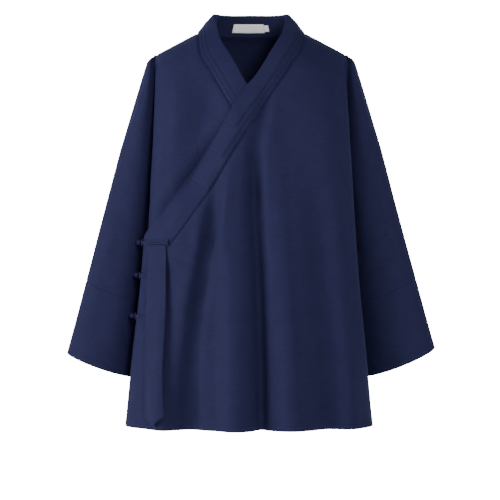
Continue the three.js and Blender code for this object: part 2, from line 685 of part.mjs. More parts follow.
// A round cord along a smooth line through a few points
function cordGeometry(points, radius, sides, steps) {
  const section = new THREE.Shape(
    Array.from({ length: sides }, (_, n) => {
      const angle = (n * 2 * Math.PI) / sides;
      return new THREE.Vector2(radius * Math.cos(angle), radius * Math.sin(angle));
    }),
  );
  const path = new THREE.CatmullRomCurve3(points, false, "centripetal");
  return new THREE.ExtrudeGeometry(section, { steps, extrudePath: path, bevelEnabled: false });
}

const wasm = await Module();
wasm.setup();
function solidOf(geometry) {
  const bare = geometry.clone();
  bare.deleteAttribute("normal");
  bare.deleteAttribute("uv");
  const merged = mergeVertices(bare, 1e-4);
  const vertProperties = merged.attributes.position.array;
  const triVerts = Uint32Array.from(merged.index.array);
  return new wasm.Manifold(new wasm.Mesh({ numProp: 3, vertProperties, triVerts }));
}
function geometryOf(solid) {
  const mesh = solid.getMesh();
  const geometry = new THREE.BufferGeometry();
  geometry.setAttribute("position", new THREE.Float32BufferAttribute(mesh.vertProperties, 3));
  geometry.setIndex([...mesh.triVerts]);
  return geometry;
}

// Frogs: distances run in from the panel's free edge, and negative ones run past it
for (const frog of frogTable) {
  const edgeColumn = freeColumn;
  const levelAt = (z, column) => solve(-1, 0.5, (v) => clothPoint("front", column, v).z - z);
  const edgeLevel = levelAt(frog.z, edgeColumn);
  const edgeNormal = normalAt("front", edgeColumn, edgeLevel);
  const edge = raised("front", edgeColumn, edgeLevel, overlapLift);
  const onward = new THREE.Vector3(0, 0, 1).cross(edgeNormal).normalize();
  const columnsIn = evenly(edgeColumn, edgeColumn + 0.4, 60);
  const spots = columnsIn.map((column) => {
    return { column, point: raised("front", column, levelAt(frog.z, column), overlapLift) };
  });
  const over = (distance, rise, lift) => {
    const up = new THREE.Vector3(0, 0, rise);
    if (distance <= 0) {
      return edge.clone().addScaledVector(onward, distance).addScaledVector(edgeNormal, lift).add(up);
    }
    let gone = 0;
    let n = 1;
    while (n < spots.length - 1 && gone + spots[n].point.distanceTo(spots[n - 1].point) < distance) {
      gone += spots[n].point.distanceTo(spots[n - 1].point);
      n += 1;
    }
    const share = (distance - gone) / spots[n].point.distanceTo(spots[n - 1].point);
    const column = lerp(spots[n - 1].column, spots[n].column, share);
    const normal = normalAt("front", column, levelAt(frog.z, column));
    return spots[n - 1].point.clone().lerp(spots[n].point, share).addScaledVector(normal, lift).add(up);
  };
  const half = cordSpacing / 2;
  const barLength = solve(10, 110, (distance) => over(distance, 0, 0).x - frog.endX);
  const run = (rise) => evenly(barLength, 2, 5).map((distance) => over(distance, rise, frog.lift));
  const eye = evenly(0.3, 1.7, 5).map((turn) => {
    const distance = -eyeReach - eyeRadius * Math.cos(Math.PI * (1 - turn));
    return over(distance, eyeRadius * Math.sin(Math.PI * turn), frog.lift);
  });
  const loop = [
    over(barLength + 1, half + barEndTurn, frog.lift),
    ...run(half),
    ...eye,
    ...run(-half).toReversed(),
    over(barLength + 1, -half - barEndTurn, frog.lift),
  ];
  place(`frog_${frog.name}_loop`, cordGeometry(loop, cordRadius, 6, 34), "cord");

  const ballCentre = over(-eyeReach, 0, frog.lift + ballLift);
  const ball = new THREE.IcosahedronGeometry(ballRadius, 2).translate(...ballCentre.toArray());
  const neckEnd = over(-eyeReach, 0, frog.lift - cordRadius - knotDip);
  const tailSpot = (turn) => {
    const column = -turn / sideTurn;
    return raised("front", column, levelAt(frog.z, column), cordRadius + 1);
  };
  const tail = [ballCentre.clone().lerp(neckEnd, 0.3), neckEnd, ...tailTurns.map(tailSpot)];
  const knot = solidOf(ball).add(solidOf(cordGeometry(tail, cordRadius, 6, 10)));
  place(`frog_${frog.name}_knot`, geometryOf(knot), "cord");
}

// Blank label and size tab, on the inside of the collar's back
function onBandFacet(along, across) {
  const start = Math.floor(along * bandPerRow) / bandPerRow;
  const share = (along - start) * bandPerRow;
  return bandPoint(start, across).lerp(bandPoint(start + 1 / bandPerRow, across), share);
}
function labelSolid(left, right, bottom, top, count) {
  const alongAt = (x) => solve(9, 13, (along) => onBandFacet(along, (bottom + top) / 2).x - x);
  const points = evenly(alongAt(right), alongAt(left), count).flatMap((along) =>
    [bottom, top].map((across) => onBandFacet(along, across)),
  );
  const high = -bandSink - label.gap;
  return raisedSolid({ points, cells: turnedOver(netCells(1, count)) }, high - label.wall, high);
}
place("neck_label", labelSolid(label.left, label.right, label.bottom, label.top, 6), "label");
const tabLeft = label.right + tab.gap;
place("neck_size_tab", labelSolid(tabLeft, tabLeft + tab.width, tab.bottom, tab.top, 2), "label");

export default robe;
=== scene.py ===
import math

import bpy
import numpy as np
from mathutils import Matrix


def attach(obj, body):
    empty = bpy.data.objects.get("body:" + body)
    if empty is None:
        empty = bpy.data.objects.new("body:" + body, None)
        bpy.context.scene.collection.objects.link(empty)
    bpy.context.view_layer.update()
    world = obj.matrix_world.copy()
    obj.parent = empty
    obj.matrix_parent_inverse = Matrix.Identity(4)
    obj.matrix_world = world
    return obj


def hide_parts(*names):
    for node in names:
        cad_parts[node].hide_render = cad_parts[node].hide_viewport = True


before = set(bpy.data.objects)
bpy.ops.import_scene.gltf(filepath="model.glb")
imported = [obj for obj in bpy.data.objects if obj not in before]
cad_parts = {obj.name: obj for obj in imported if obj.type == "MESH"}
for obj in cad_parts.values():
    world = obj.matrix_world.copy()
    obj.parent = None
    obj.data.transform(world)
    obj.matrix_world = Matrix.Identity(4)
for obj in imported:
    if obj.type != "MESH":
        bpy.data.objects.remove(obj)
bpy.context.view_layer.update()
metre = 0.001  # one millimetre of the settings in scene units

# The cut of the body and the sleeves
cut = {
    "armpitZ": -262,
    "hemZ": -775,
    "underHemRise": 8,
    "ridgeY": 5,
    "sideTurn": 112,
    "freeEdgeTurn": 88,
    "slitTopZ": -590,
    "slitTurn": 2.2,
    "squareness": {"front": 2.3, "back": 2.0},
    "backWidest": 0.99,
    "searchLevels": (-1.03, 0.999),
    "overlapLift": 7.5,
    "liftFadeX": (92, 188),
    "liftTop": 0.92,
    "liftFadeLevel": 0.5,
}
torso = {
    "z": [-262, -415, -510, -628, -775],
    "halfWidth": [196, 205, 213, 227, 242],
    "front": [-118, -117, -119, -123, -127],
    "back": [106, 98, 100, 108, 118],
    "widest": [-35, -33, -30, -27, -25],
}
shoulder = {
    "neckX": 107,
    "neckZ": 5.5,
    "edgeX": 186,
    "seamX": 192,
    "slope": 0.52,
    "endX": 209,
    "endZ": -52,
    "endBend": 1.4,
    "valley": {"front": -38, "back": 42},
    "valleyStartTurn": 80,
    "valleyTop": (0.04, 0.36),
    "fullness": {"front": (2.3, 2.2), "back": (3.0, 2.2)},
}
sleeve = {
    "innerTop": (181.7, 18, -262),
    "innerCuff": (229, 24, -682),
    "outerTop": (262, 4, -230),
    "outerCuff": (368, 2, -628),
    "along": [0, 0.35, 0.7, 1],
    "front": [50, 45, 44, 47],
    "back": [50, 46, 45, 47],
    "seamAlong": 0.648,
    "cuffBow": 6,
    "cuffDrop": 5.5,
    "underarmSharpness": 1.5,
    "girth": 240,
    "length": 430,
}

# Main folds: top x, top z, hem x, width, depth. A positive depth is a ridge.
mainFolds = {
    "front": [
        (-112, -395, -172, 26, 13),
        (-83, -330, -110, 24, -19),
        (-28, -190, -27, 27, 21),
        (6, -190, 24, 21, -20),
        (60, -200, 82, 28, 14),
        (112, -260, 146, 26, -13),
        (150, -320, 192, 22, 7),
    ],
    "back": [
        (-140, -300, -172, 28, 11),
        (-96, -240, -118, 26, -14),
        (-44, -210, -56, 30, 15),
        (4, -250, 8, 26, -15),
        (52, -220, 68, 30, 16),
        (104, -260, 126, 26, -13),
        (146, -320, 178, 26, 9),
    ],
}

foldGrowth = {"power": 0.8, "start": 0.25, "most": 1.05, "sideFade": 6}

# Smaller creases: the points of each line, its half width and its depth, ridges positive
creases = {
    "front": [
        ([(34, -90), (18, -180), (8, -262), (10, -370)], 13, -6.0),
        ([(5, -160), (6, -330), (12, -450), (16, -560), (18, -690), (16, -860)], 15, -10.2),
        ([(-44, -190), (-46, -330), (-42, -450), (-38, -600), (-36, -860)], 15, 5.4),
        ([(46, -120), (48, -290), (60, -470), (70, -640), (74, -860)], 14, 3.4),
        ([(112, -230), (134, -400), (146, -560), (156, -700), (162, -860)], 20, -6.0),
        ([(-48, -236), (-60, -310), (-74, -384), (-86, -460)], 12, -5.0),
        (
            [(-70, -250), (-78, -400), (-90, -476), (-103, -534), (-114, -620), (-120, -720), (-120, -860)],
            15,
            -10.0,
        ),
        ([(-166, -470), (-172, -560), (-174, -680), (-172, -860)], 12, 3.0),
        ([(-140, -490), (-142, -600), (-144, -700), (-142, -860)], 16, -6.0),
        ([(-26, -150), (-46, -187), (-79, -236), (-118, -292), (-158, -348), (-190, -392)], 14, -6.5),
        ([(-78, -60), (-90, -180), (-104, -270), (-126, -360)], 34, -12.0),
        ([(-174, -110), (-180, -260), (-186, -420)], 11, 2.6),
        ([(140, -30), (158, -200), (170, -350), (182, -560), (188, -860)], 38, 7.6),
        ([(-150, -440), (-120, -452), (-84, -476)], 8, -1.6),
        ([(-156, -500), (-134, -518), (-112, -552)], 9, -1.4),
    ],
    "back": [
        ([(-4, -250), (-8, -480), (4, -620), (10, -860)], 13, -5.0),
        ([(-50, -220), (-56, -420), (-54, -600), (-62, -860)], 14, 3.2),
        ([(56, -230), (64, -400), (70, -580), (66, -860)], 13, 3.4),
        ([(104, -260), (114, -460), (120, -620), (132, -860)], 14, -5.4),
        ([(-100, -250), (-110, -470), (-120, -640), (-122, -860)], 15, -5.0),
        ([(166, -290), (148, -350), (138, -430)], 13, -2.0),
        ([(-166, -280), (-150, -346), (-142, -420)], 14, -1.8),
        ([(-152, -400), (-158, -560), (-170, -860)], 14, 2.4),
        ([(154, -390), (160, -540), (174, -860)], 15, 2.2),
        ([(36, -50), (48, -140), (46, -240)], 20, 1.8),
        ([(-46, -56), (-38, -150), (-44, -250)], 22, 1.6),
        ([(92, -90), (104, -180), (104, -280)], 18, -2.6),
        ([(-90, -100), (-100, -190), (-98, -290)], 20, -2.2),
    ],
    "frontYoke": [
        ([(190, -250), (178, -200), (170, -150)], 14, -1.3),
        ([(214, -240), (226, -180), (218, -120)], 12, 1.2),
        ([(-190, -250), (-176, -196), (-170, -140)], 15, -1.2),
        ([(-214, -236), (-228, -184), (-216, -130)], 12, 1.3),
    ],
    "backYoke": [
        ([(184, -244), (160, -200), (140, -150)], 14, -2.2),
        ([(196, -236), (206, -168), (200, -108)], 13, -1.6),
        ([(160, -226), (132, -160), (118, -100)], 16, 1.6),
        ([(-184, -242), (-158, -190), (-136, -142)], 15, -2.0),
        ([(-196, -236), (-206, -172), (-202, -104)], 13, -1.5),
        ([(-162, -224), (-134, -164), (-116, -110)], 15, 1.7),
    ],
    # Sleeve lines run in distance round the sleeve, from the underarm over the front, and distance down it
    "sleeveLeft": [
        ([(14, -60), (22, 90), (16, 240)], 10, -2.4),
        ([(40, -20), (44, 120), (38, 250), (46, 440)], 14, 1.8),
        ([(72, -60), (68, 90), (74, 220), (70, 440)], 15, -1.6),
        ([(16, 190), (48, 178), (84, 198)], 11, -1.8),
        ([(26, 232), (60, 222), (94, 246)], 10, -1.4),
        ([(150, -20), (142, 150), (150, 300), (146, 440)], 14, 2.2),
        ([(176, -50), (180, 120), (172, 260), (182, 440)], 14, -2.6),
        ([(204, -10), (200, 130), (208, 280)], 13, 2.0),
        ([(160, 190), (188, 178), (218, 192)], 11, -2.0),
        ([(168, 232), (196, 224), (216, 236)], 10, -1.5),
    ],
    "sleeveRight": [
        ([(14, -60), (20, 100), (18, 250)], 10, -2.3),
        ([(42, -20), (40, 130), (46, 260), (40, 440)], 14, 1.7),
        ([(70, -60), (76, 100), (68, 240), (74, 440)], 15, -1.7),
        ([(16, 202), (46, 190), (80, 206)], 11, -1.7),
        ([(24, 244), (58, 234), (90, 254)], 10, -1.4),
        ([(148, 0), (152, 160), (144, 300), (152, 440)], 14, 2.1),
        ([(178, -40), (172, 130), (180, 270), (174, 440)], 14, -2.5),
        ([(206, -20), (210, 130), (202, 290)], 13, 1.9),
        ([(158, 200), (190, 190), (220, 206)], 11, -1.9),
    ],
}


def mix(a, b, share):
    return a + (b - a) * share


def smooth(value, low, high):
    t = np.clip((value - low) / (high - low), 0, 1)
    return t * t * (3 - 2 * t)


def signedPower(value, exponent):
    return np.sign(value) * np.abs(value) ** exponent


def unit(vectors):
    return vectors / np.maximum(np.linalg.norm(vectors, axis=-1, keepdims=True), 1e-9)


# A value from a column of a table, with smooth joins that never swing past their rows
def readTable(keys, values, at):
    keys = np.asarray(keys, float)
    values = np.asarray(values, float)
    if keys[-1] < keys[0]:
        keys = keys[::-1]
        values = values[::-1]
    slopes = np.diff(values) / np.diff(keys)
    product = slopes[:-1] * slopes[1:]
    together = np.where(product > 0, slopes[:-1] + slopes[1:], 1)
    middle = np.where(product > 0, 2 * product / together, 0)
    tangents = np.concatenate([slopes[:1], middle, slopes[-1:]])
    i = np.clip(np.searchsorted(keys, at, side="right") - 1, 0, len(slopes) - 1)
    span = keys[i + 1] - keys[i]
    t = np.clip((at - keys[i]) / span, 0, 1)
    rise = t * t * (3 - 2 * t)
    bend = t * (1 - t) ** 2 * tangents[i] - t * t * (1 - t) * tangents[i + 1]
    return mix(values[i], values[i + 1], rise) + span * bend


def torsoAt(column, z):
    return readTable(torso["z"], torso[column], np.clip(z, cut["hemZ"], cut["armpitZ"]))


def torsoSection(z, turn):
    angle = np.radians(turn)
    facing = np.cos(angle)
    widest = torsoAt("widest", z)
    roundness = np.where(facing > 0, 2 / cut["squareness"]["front"], 2 / cut["squareness"]["back"])
    depth = np.abs(np.where(facing > 0, torsoAt("front", z), torsoAt("back", z)) - widest)
    x = torsoAt("halfWidth", z) * signedPower(np.sin(angle), roundness)
    y = widest - depth * signedPower(facing, roundness)
    return np.stack([x, y, z + 0 * x], -1)


def foldDepth(face, x, z):
    depth = 0 * x
    for topX, topZ, hemX, width, height in mainFolds[face]:
        grown = np.clip((topZ - z) / (topZ - cut["hemZ"]), 0, foldGrowth["most"])
        size = grown ** foldGrowth["power"] * smooth(grown, 0, foldGrowth["start"])
        depth = depth + height * size * np.exp(-(((x - mix(topX, hemX, grown)) / width) ** 2))
    return depth


def folded(face, points, across):
    x, y, z = points[..., 0], points[..., 1], points[..., 2]
    halfWidth = torsoAt("halfWidth", z)
    widest = torsoAt("widest", z)
    depth = torsoAt(face, z) - widest
    outward = np.stack([x / halfWidth**2, (y - widest) / depth**2, 0 * x], -1)
    amount = foldDepth(face, x, z) * (1 - np.clip(np.abs(across), 0, 1) ** foldGrowth["sideFade"])
    return points + unit(outward) * amount[..., None]


def turnOf(face, across, z):
    opened = cut["slitTurn"] * np.clip((cut["slitTopZ"] - z) / (cut["slitTopZ"] - cut["hemZ"]), 0, 1)
    if face == "front":
        return across * (cut["sideTurn"] - opened)
    return 180 * np.where(across < 0, -1, 1) - across * (180 - cut["sideTurn"] - opened)


def ridgeHeight(x):
    neckX = shoulder["neckX"]
    inside = shoulder["slope"] * neckX / 2 * (1 - (x / neckX) ** 2)
    return shoulder["neckZ"] + np.where(x < neckX, inside, -shoulder["slope"] * (x - neckX))


# The shoulder line above each column: torso columns run to 1, sleeve columns from 1 to 2
def ridgePoint(face, column, onSleeve):
    side = np.where(column < 0, -1, 1)
    reach = np.abs(column)
    if onSleeve:
        t = np.clip(reach - 1, 0, 1)
        x = mix(shoulder["seamX"], shoulder["endX"], t)
        z = mix(ridgeHeight(shoulder["seamX"]), shoulder["endZ"], t ** shoulder["endBend"])
    elif face == "front":
        turn = reach * cut["sideTurn"]
        beyond = np.clip((turn - 90) / (cut["sideTurn"] - 90), 0, 1)
        curved = shoulder["edgeX"] * signedPower(np.sin(np.radians(turn)), 2 / cut["squareness"]["front"])
        x = np.where(turn < 90, curved, mix(shoulder["edgeX"], shoulder["seamX"], beyond))
        z = ridgeHeight(x)
    else:
        turn = 180 - reach * (180 - cut["sideTurn"])
        share = np.sin(np.radians(turn)) / math.sin(math.radians(cut["sideTurn"]))
        x = shoulder["seamX"] * signedPower(share, 2 / cut["squareness"]["back"])
        x = np.minimum(x, shoulder["seamX"])
        z = ridgeHeight(x)
    return np.stack([side * x, cut["ridgeY"] + 0 * x, z + 0 * x], -1)


def sleevePoint(face, side, across, along):
    inner = mix(np.array(sleeve["innerTop"], float), np.array(sleeve["innerCuff"]), along[..., None])
    outer = mix(np.array(sleeve["outerTop"], float), np.array(sleeve["outerCuff"]), along[..., None])
    points = mix(inner, outer, ((1 - np.cos(math.pi * across)) / 2)[..., None])
    bow = np.sin(math.pi * across)
    sharpness = mix(sleeve["underarmSharpness"], 1, np.clip(across, 0, 1))
    depth = readTable(sleeve["along"], sleeve[face], along) * signedPower(bow, sharpness)
    points[..., 1] += depth * (-1 if face == "front" else 1)
    points[..., 2] -= (sleeve["cuffBow"] * bow - sleeve["cuffDrop"] * side * across) * along**2
    points[..., 0] *= side
    return points


# Outer face of the robe. Level is -1 at the hem or the cuff, 0 at the armpits and 1 on the shoulder line.
def cutPoint(face, column, level, onSleeve=False):
    column, level = np.broadcast_arrays(np.asarray(column, float), np.asarray(level, float))
    side = np.where(column < 0, -1, 1)
    reach = np.abs(column)
    down = np.clip(-level, 0, None)
    if onSleeve:
        below = sleevePoint(face, side, reach - 1, down)
        low = sleevePoint(face, side, reach - 1, 0 * level)
        crease = (2 - reach) ** 2
    else:
        z = mix(cut["armpitZ"], cut["hemZ"], down)
        below = folded(face, torsoSection(z, turnOf(face, column, z)), column)
        low = torsoSection(cut["armpitZ"] + 0 * level, turnOf(face, column, cut["armpitZ"] + 0 * level))
        crease = smooth(reach, shoulder["valleyStartTurn"] / cut["sideTurn"], 1)
    ridge = ridgePoint(face, column, onSleeve)
    atNeck, atShoulder = shoulder["fullness"][face]
    fullness = mix(atNeck, atShoulder, np.clip(reach, 0, 1) ** 2)
    angle = np.clip(level, 0, 1) * math.pi / 2
    rise = (np.sin(angle) ** (2 / fullness))[..., None]
    above = mix(low, ridge, rise)
    above[..., 1] = mix(ridge[..., 1], low[..., 1], np.cos(angle) ** (2 / fullness))
    underRidge = smooth(1 - level, *shoulder["valleyTop"])
    above[..., 1] += shoulder["valley"][face] * crease * np.sin(math.pi * np.clip(level, 0, 1)) * underRidge
    if not onSleeve:
        above = folded(face, above, column)
    return np.where((level > 0)[..., None], above, below)


# A smooth line through a few points, as evenly counted points
def smoothLine(points, count):
    points = np.asarray(points, float)
    ends = [2 * points[0] - points[1], *points, 2 * points[-1] - points[-2]]
    ends = np.array(ends)
    at = np.linspace(0, len(points) - 1, count)
    i = np.minimum(at.astype(int), len(points) - 2)
    t = (at - i)[:, None]
    a, b, c, d = ends[i], ends[i + 1], ends[i + 2], ends[i + 3]
    curve = 2 * b + (c - a) * t + (2 * a - 5 * b + 4 * c - d) * t**2 + (3 * b - a - 3 * c + d) * t**3
    return curve / 2


# A crease's section: a soft trough or ridge with a low swell the other way on both sides
creaseForm = {
    "points": 26,
    "reach": 3.2,
    "swell": 0.34,
    "swellAt": 1.75,
    "swellWidth": 0.75,
    "tapers": (0.3, 0.22),
    "yokeLevels": (0.02, 0.2),
    "yokeTop": 0.25,
    "yokeEnd": 0.35,
    "sleeveSide": 0.1,
    "sleeveTop": (0.1, 0.75),
    "panelSide": 8,
    "panelTop": 0.3,
}


# Height of a set of crease lines at places given by two coordinates
def creaseHeight(lines, a, b):
    height = np.zeros(np.shape(a))
    for points, width, depth in lines:
        line = smoothLine(points, creaseForm["points"])
        reach = creaseForm["reach"] * width
        low = line.min(0) - reach
        high = line.max(0) + reach
        near = (a > low[0]) & (a < high[0]) & (b > low[1]) & (b < high[1])
        if not near.any():
            continue
        spots = np.stack([a[near], b[near]], -1)
        starts, steps = line[:-1], np.diff(line, axis=0)
        lengths = np.linalg.norm(steps, axis=1)
        run = np.concatenate([[0], np.cumsum(lengths)])
        toSpot = spots[:, None, :] - starts[None]
        share = np.clip((toSpot * steps).sum(-1) / lengths**2, 0, 1)
        away = np.linalg.norm(toSpot - steps * share[..., None], axis=-1)
        nearest = away.argmin(1)
        rows = np.arange(len(spots))
        along = (run[nearest] + share[rows, nearest] * lengths[nearest]) / run[-1]
        q = away[rows, nearest] / width
        taper = smooth(along, 0, creaseForm["tapers"][0]) * smooth(1 - along, 0, creaseForm["tapers"][1])
        swell = np.exp(-(((q - creaseForm["swellAt"]) / creaseForm["swellWidth"]) ** 2))
        height[near] += depth * taper * (np.exp(-(q**2)) - creaseForm["swell"] * swell)
    return height


def creasesAt(face, column, level, points, onSleeve):
    x, z = points[..., 0], points[..., 2]
    reach = np.abs(column)
    upper = smooth(level, *creaseForm["yokeLevels"]) * smooth(1 - level, 0, creaseForm["yokeTop"])
    upper = upper * smooth(2.02 - reach, 0, creaseForm["yokeEnd"])
    height = creaseHeight(creases[face + "Yoke"], x, z) * upper
    if onSleeve:
        around = (reach - 1) if face == "front" else (3 - reach)
        lines = creases["sleeveLeft"] if np.mean(column) > 0 else creases["sleeveRight"]
        wrapped = creaseHeight(lines, around * sleeve["girth"] / 2, -level * sleeve["length"])
        side = creaseForm["sleeveSide"]
        fade = smooth(around, 0, side) * smooth(2 - around, 0, side)
        return height + wrapped * fade * (1 - smooth(level, *creaseForm["sleeveTop"]))
    fade = 1 - np.clip(reach, 0, 1) ** creaseForm["panelSide"]
    fade = fade * smooth(1 - level, 0, creaseForm["panelTop"])
    return height + creaseHeight(creases[face], x, z) * fade


def normalAt(face, column, level, onSleeve=False):
    step = 0.004
    across = cutPoint(face, column + step, level, onSleeve) - cutPoint(face, column - step, level, onSleeve)
    higher = np.minimum(level + step, 1)
    up = cutPoint(face, column, higher, onSleeve) - cutPoint(face, column, higher - 2 * step, onSleeve)
    return unit(np.cross(across, up) * (1 if face == "front" else -1))


# The draped face and its outward direction
def drapedPoint(face, column, level, onSleeve=False):
    column, level = np.broadcast_arrays(np.asarray(column, float), np.asarray(level, float))
    points = cutPoint(face, column, level, onSleeve)
    normal = normalAt(face, column, level, onSleeve)
    return points + normal * creasesAt(face, column, level, points, onSleeve)[..., None], normal


def outerLift(x, level):
    top = smooth(cut["liftTop"] - level, 0, cut["liftFadeLevel"])
    return cut["overlapLift"] * (1 - smooth(x, *cut["liftFadeX"])) * top


# Each stretch of the collar band with its face; the outer front lies over the under front
faceOf = {"outer": "front", "back": "back", "under": "front"}


def layerPoint(runName, column, level):
    points, normal = drapedPoint(faceOf[runName], column, level)
    if runName == "outer":
        points = points + normal * outerLift(points[..., 0], level)[..., None]
    return points, normal


# Halving search for where a function crosses zero, for a whole row of places at once
def solve(low, high, value, turns=22):
    low = np.array(low, float)
    high = np.array(high, float)
    rising = value(high) > value(low)
    for _ in range(turns):
        middle = (low + high) / 2
        past = (value(middle) > 0) == rising
        high = np.where(past, middle, high)
        low = np.where(past, low, middle)
    return (low + high) / 2


def placeOn(face, x, z, turns=6):
    x = np.asarray(x, float)
    z = np.asarray(z, float)
    widest = 90 / cut["sideTurn"] if face == "front" else cut["backWidest"]
    lowest, highest = cut["searchLevels"]
    column = 0.4 * np.sign(x + 1e-6)
    level = 0 * x
    for _ in range(turns):
        level = solve(lowest + 0 * x, highest + 0 * x, lambda v: cutPoint(face, column, v)[..., 2] - z)
        column = solve(-widest + 0 * x, widest + 0 * x, lambda c: cutPoint(face, c, level)[..., 0] - x)
    return column, level


def columnAtRidge(face, x):
    x = np.asarray(x, float)
    return solve(0 * x, 1 + 0 * x, lambda c: ridgePoint(face, c + 1e-9, False)[..., 0] - x, 26)


freeColumn = -cut["freeEdgeTurn"] / cut["sideTurn"]

# The collar band, row by row from its end at the top frog to its hidden end under the outer front
band = {
    "seamX": [
        -153, -131, -81, -44, -13, 34, 74, 99, 107, 90, 46,
        0, -46, -90, -107, -103, -80, -51, -30, 16, 60,
    ],
    "seamZ": [
        -416, -386, -316, -258, -207, -136, -74, -29, 5.5, 6, 4,
        4, 4, 6, 5.5, -36, -83, -133, -168, -244, -318,
    ],
    "edgeX": [
        -205, -182, -124, -85, -52, -6, 35, 60, 71.5, 60, 34,
        0, -34, -60, -71.5, -61, -36, -9, 13, 60, 104,
    ],
    "edgeZ": [
        -411, -371, -287, -231, -182, -111, -50, -4, 40.5, 47, 50,
        51, 50, 47, 40.5, -12, -57, -107, -142, -218, -292,
    ],
    "edgeY": [0, 0, 0, 0, 0, 0, -78, -50, -4, 42, 60, 64, 60, 42, -4, -52, -82, 0, 0, 0, 0],
    "stand": [0, 0, 0, 0, 0, 0, 0, 0.3, 1, 1, 1, 1, 1, 1, 1, 0.3, 0, 0, 0, 0, 0],
    "highestSeam": 5.3,
    "leftNeck": 8,
    "rightNeck": 14,
    "width": 54,
    "low": -0.8,
    "high": 0.6,
    "samples": 21,
    "rows": [0, 0.12, 0.35, 0.8, 1.25, 1.8, 2.35, 2.9, 4, 6],
    "rowLength": 50,
    "endRows": 8,
    "middleColumns": 8,
    "edgeReach": 0.9,
    "edgeShare": 0.46,
    "stitchInset": 1.8,
    "seamGroove": (1.0, 0.7),
    "neckGroove": (0.12, 0.8),
    "endGroove": (1.1, 1.3),
}
bandSteps = [
    {"name": "collar_step_wide", "first": 2, "last": 18, "start": 0.04, "low": 0.66, "high": 1.95},
    {"name": "collar_step_middle", "first": 3, "last": 18, "start": 0.2, "low": 2.01, "high": 3.3},
    {"name": "collar_step_narrow", "first": 4, "last": 18, "start": 0.39, "low": 3.36, "high": 4.65},
]


# Columns and levels of the band's seam and free edge on one face
def bandRun(face, first, last):
    rows = np.arange(first, last + 1)
    keys = ("seamX", "seamZ", "edgeX", "edgeZ")
    seamX, seamZ, edgeX, edgeZ = (np.array(band[key], float)[rows] for key in keys)
    atNeck = (rows == band["leftNeck"]) | (rows == band["rightNeck"])
    seamColumn, seamLevel = placeOn(face, seamX, np.minimum(seamZ, band["highestSeam"]), 8)
    edgeColumn, edgeLevel = (seamColumn, seamLevel) if face == "back" else placeOn(face, edgeX, edgeZ, 8)
    side = np.sign(seamX + 1e-6)
    seamColumn = np.where(atNeck, side * columnAtRidge(face, np.abs(seamX)), seamColumn)
    edgeColumn = np.where(atNeck, side * columnAtRidge(face, np.abs(edgeX)), edgeColumn)
    edgeColumn = np.where(rows == 0, freeColumn, edgeColumn)
    seamLevel = np.where(atNeck, 1, seamLevel)
    edgeLevel = np.where(atNeck, 1, edgeLevel)
    found = {"rows": rows, "seamColumn": seamColumn, "seamLevel": seamLevel}
    return found | {"edgeColumn": edgeColumn, "edgeLevel": edgeLevel}


bandRuns = {
    "outer": bandRun("front", 0, band["leftNeck"]),
    "back": bandRun("back", band["leftNeck"], band["rightNeck"]),
    "under": bandRun("front", band["rightNeck"], len(band["seamX"]) - 1),
}


def bandPointIn(runName, along, across):
    run = bandRuns[runName]
    rows = run["rows"]
    keys = ("seamColumn", "seamLevel", "edgeColumn", "edgeLevel")
    seamColumn, seamLevel, edgeColumn, edgeLevel = (readTable(rows, run[key], along) for key in keys)
    keys = ("edgeX", "edgeY", "edgeZ", "stand")
    *edge, stand = (readTable(rows, np.array(band[key], float)[rows], along) for key in keys)
    edge = np.stack(edge, -1)
    stand = stand[..., None]

    def settled(share):
        column = mix(seamColumn, edgeColumn, share)
        level = mix(seamLevel, edgeLevel, share)
        return layerPoint(runName, column, level)[0]

    standing = mix(settled(0 * across), edge, across[..., None])
    return mix(settled(across), standing, stand)


def bandPoint(along, across):
    along, across = np.broadcast_arrays(np.asarray(along, float), np.asarray(across, float))
    points = np.zeros(along.shape + (3,))
    left, right = band["leftNeck"], band["rightNeck"]
    masks = {"outer": along <= left, "back": (along > left) & (along < right), "under": along >= right}
    for runName, mask in masks.items():
        if mask.any():
            points[mask] = bandPointIn(runName, along[mask], across[mask])
    return points


# Running length of a grid of points along one of its directions
def runningLength(points, axis):
    steps = np.linalg.norm(np.diff(points, axis=axis), axis=-1)
    start = np.zeros_like(np.take(steps, [0], axis=axis))
    return np.concatenate([start, np.cumsum(steps, axis=axis)], axis=axis)


# Length along a grid to the nearer of its two ends
def nearerEnd(length, axis=0):
    return np.minimum(length, np.take(length, [-1], axis=axis) - length)


# The flat layout of a face: lengths across it and up it, from its middle column and the armpits
def flatLayout(face):
    columns = np.linspace(-1, 1, 161)
    levels = np.linspace(-1, 1, 121)
    points = cutPoint(face, columns[:, None], levels[None])
    across = runningLength(points, 0)
    up = runningLength(points, 1)
    middle = len(levels) // 2
    return np.stack([across - across[len(columns) // 2], up - up[:, middle : middle + 1]], -1)


flatLayouts = {"front": flatLayout("front"), "back": flatLayout("back")}


def flatPlace(face, column, level):
    table = flatLayouts[face]
    a = (np.clip(column, -1, 1) + 1) / 2 * (table.shape[0] - 1)
    b = (np.clip(level, -1, 1) + 1) / 2 * (table.shape[1] - 1)
    i = np.minimum(a.astype(int), table.shape[0] - 2)
    j = np.minimum(b.astype(int), table.shape[1] - 2)
    s, t = (a - i)[..., None], (b - j)[..., None]
    return mix(mix(table[i, j], table[i + 1, j], s), mix(table[i, j + 1], table[i + 1, j + 1], s), t)


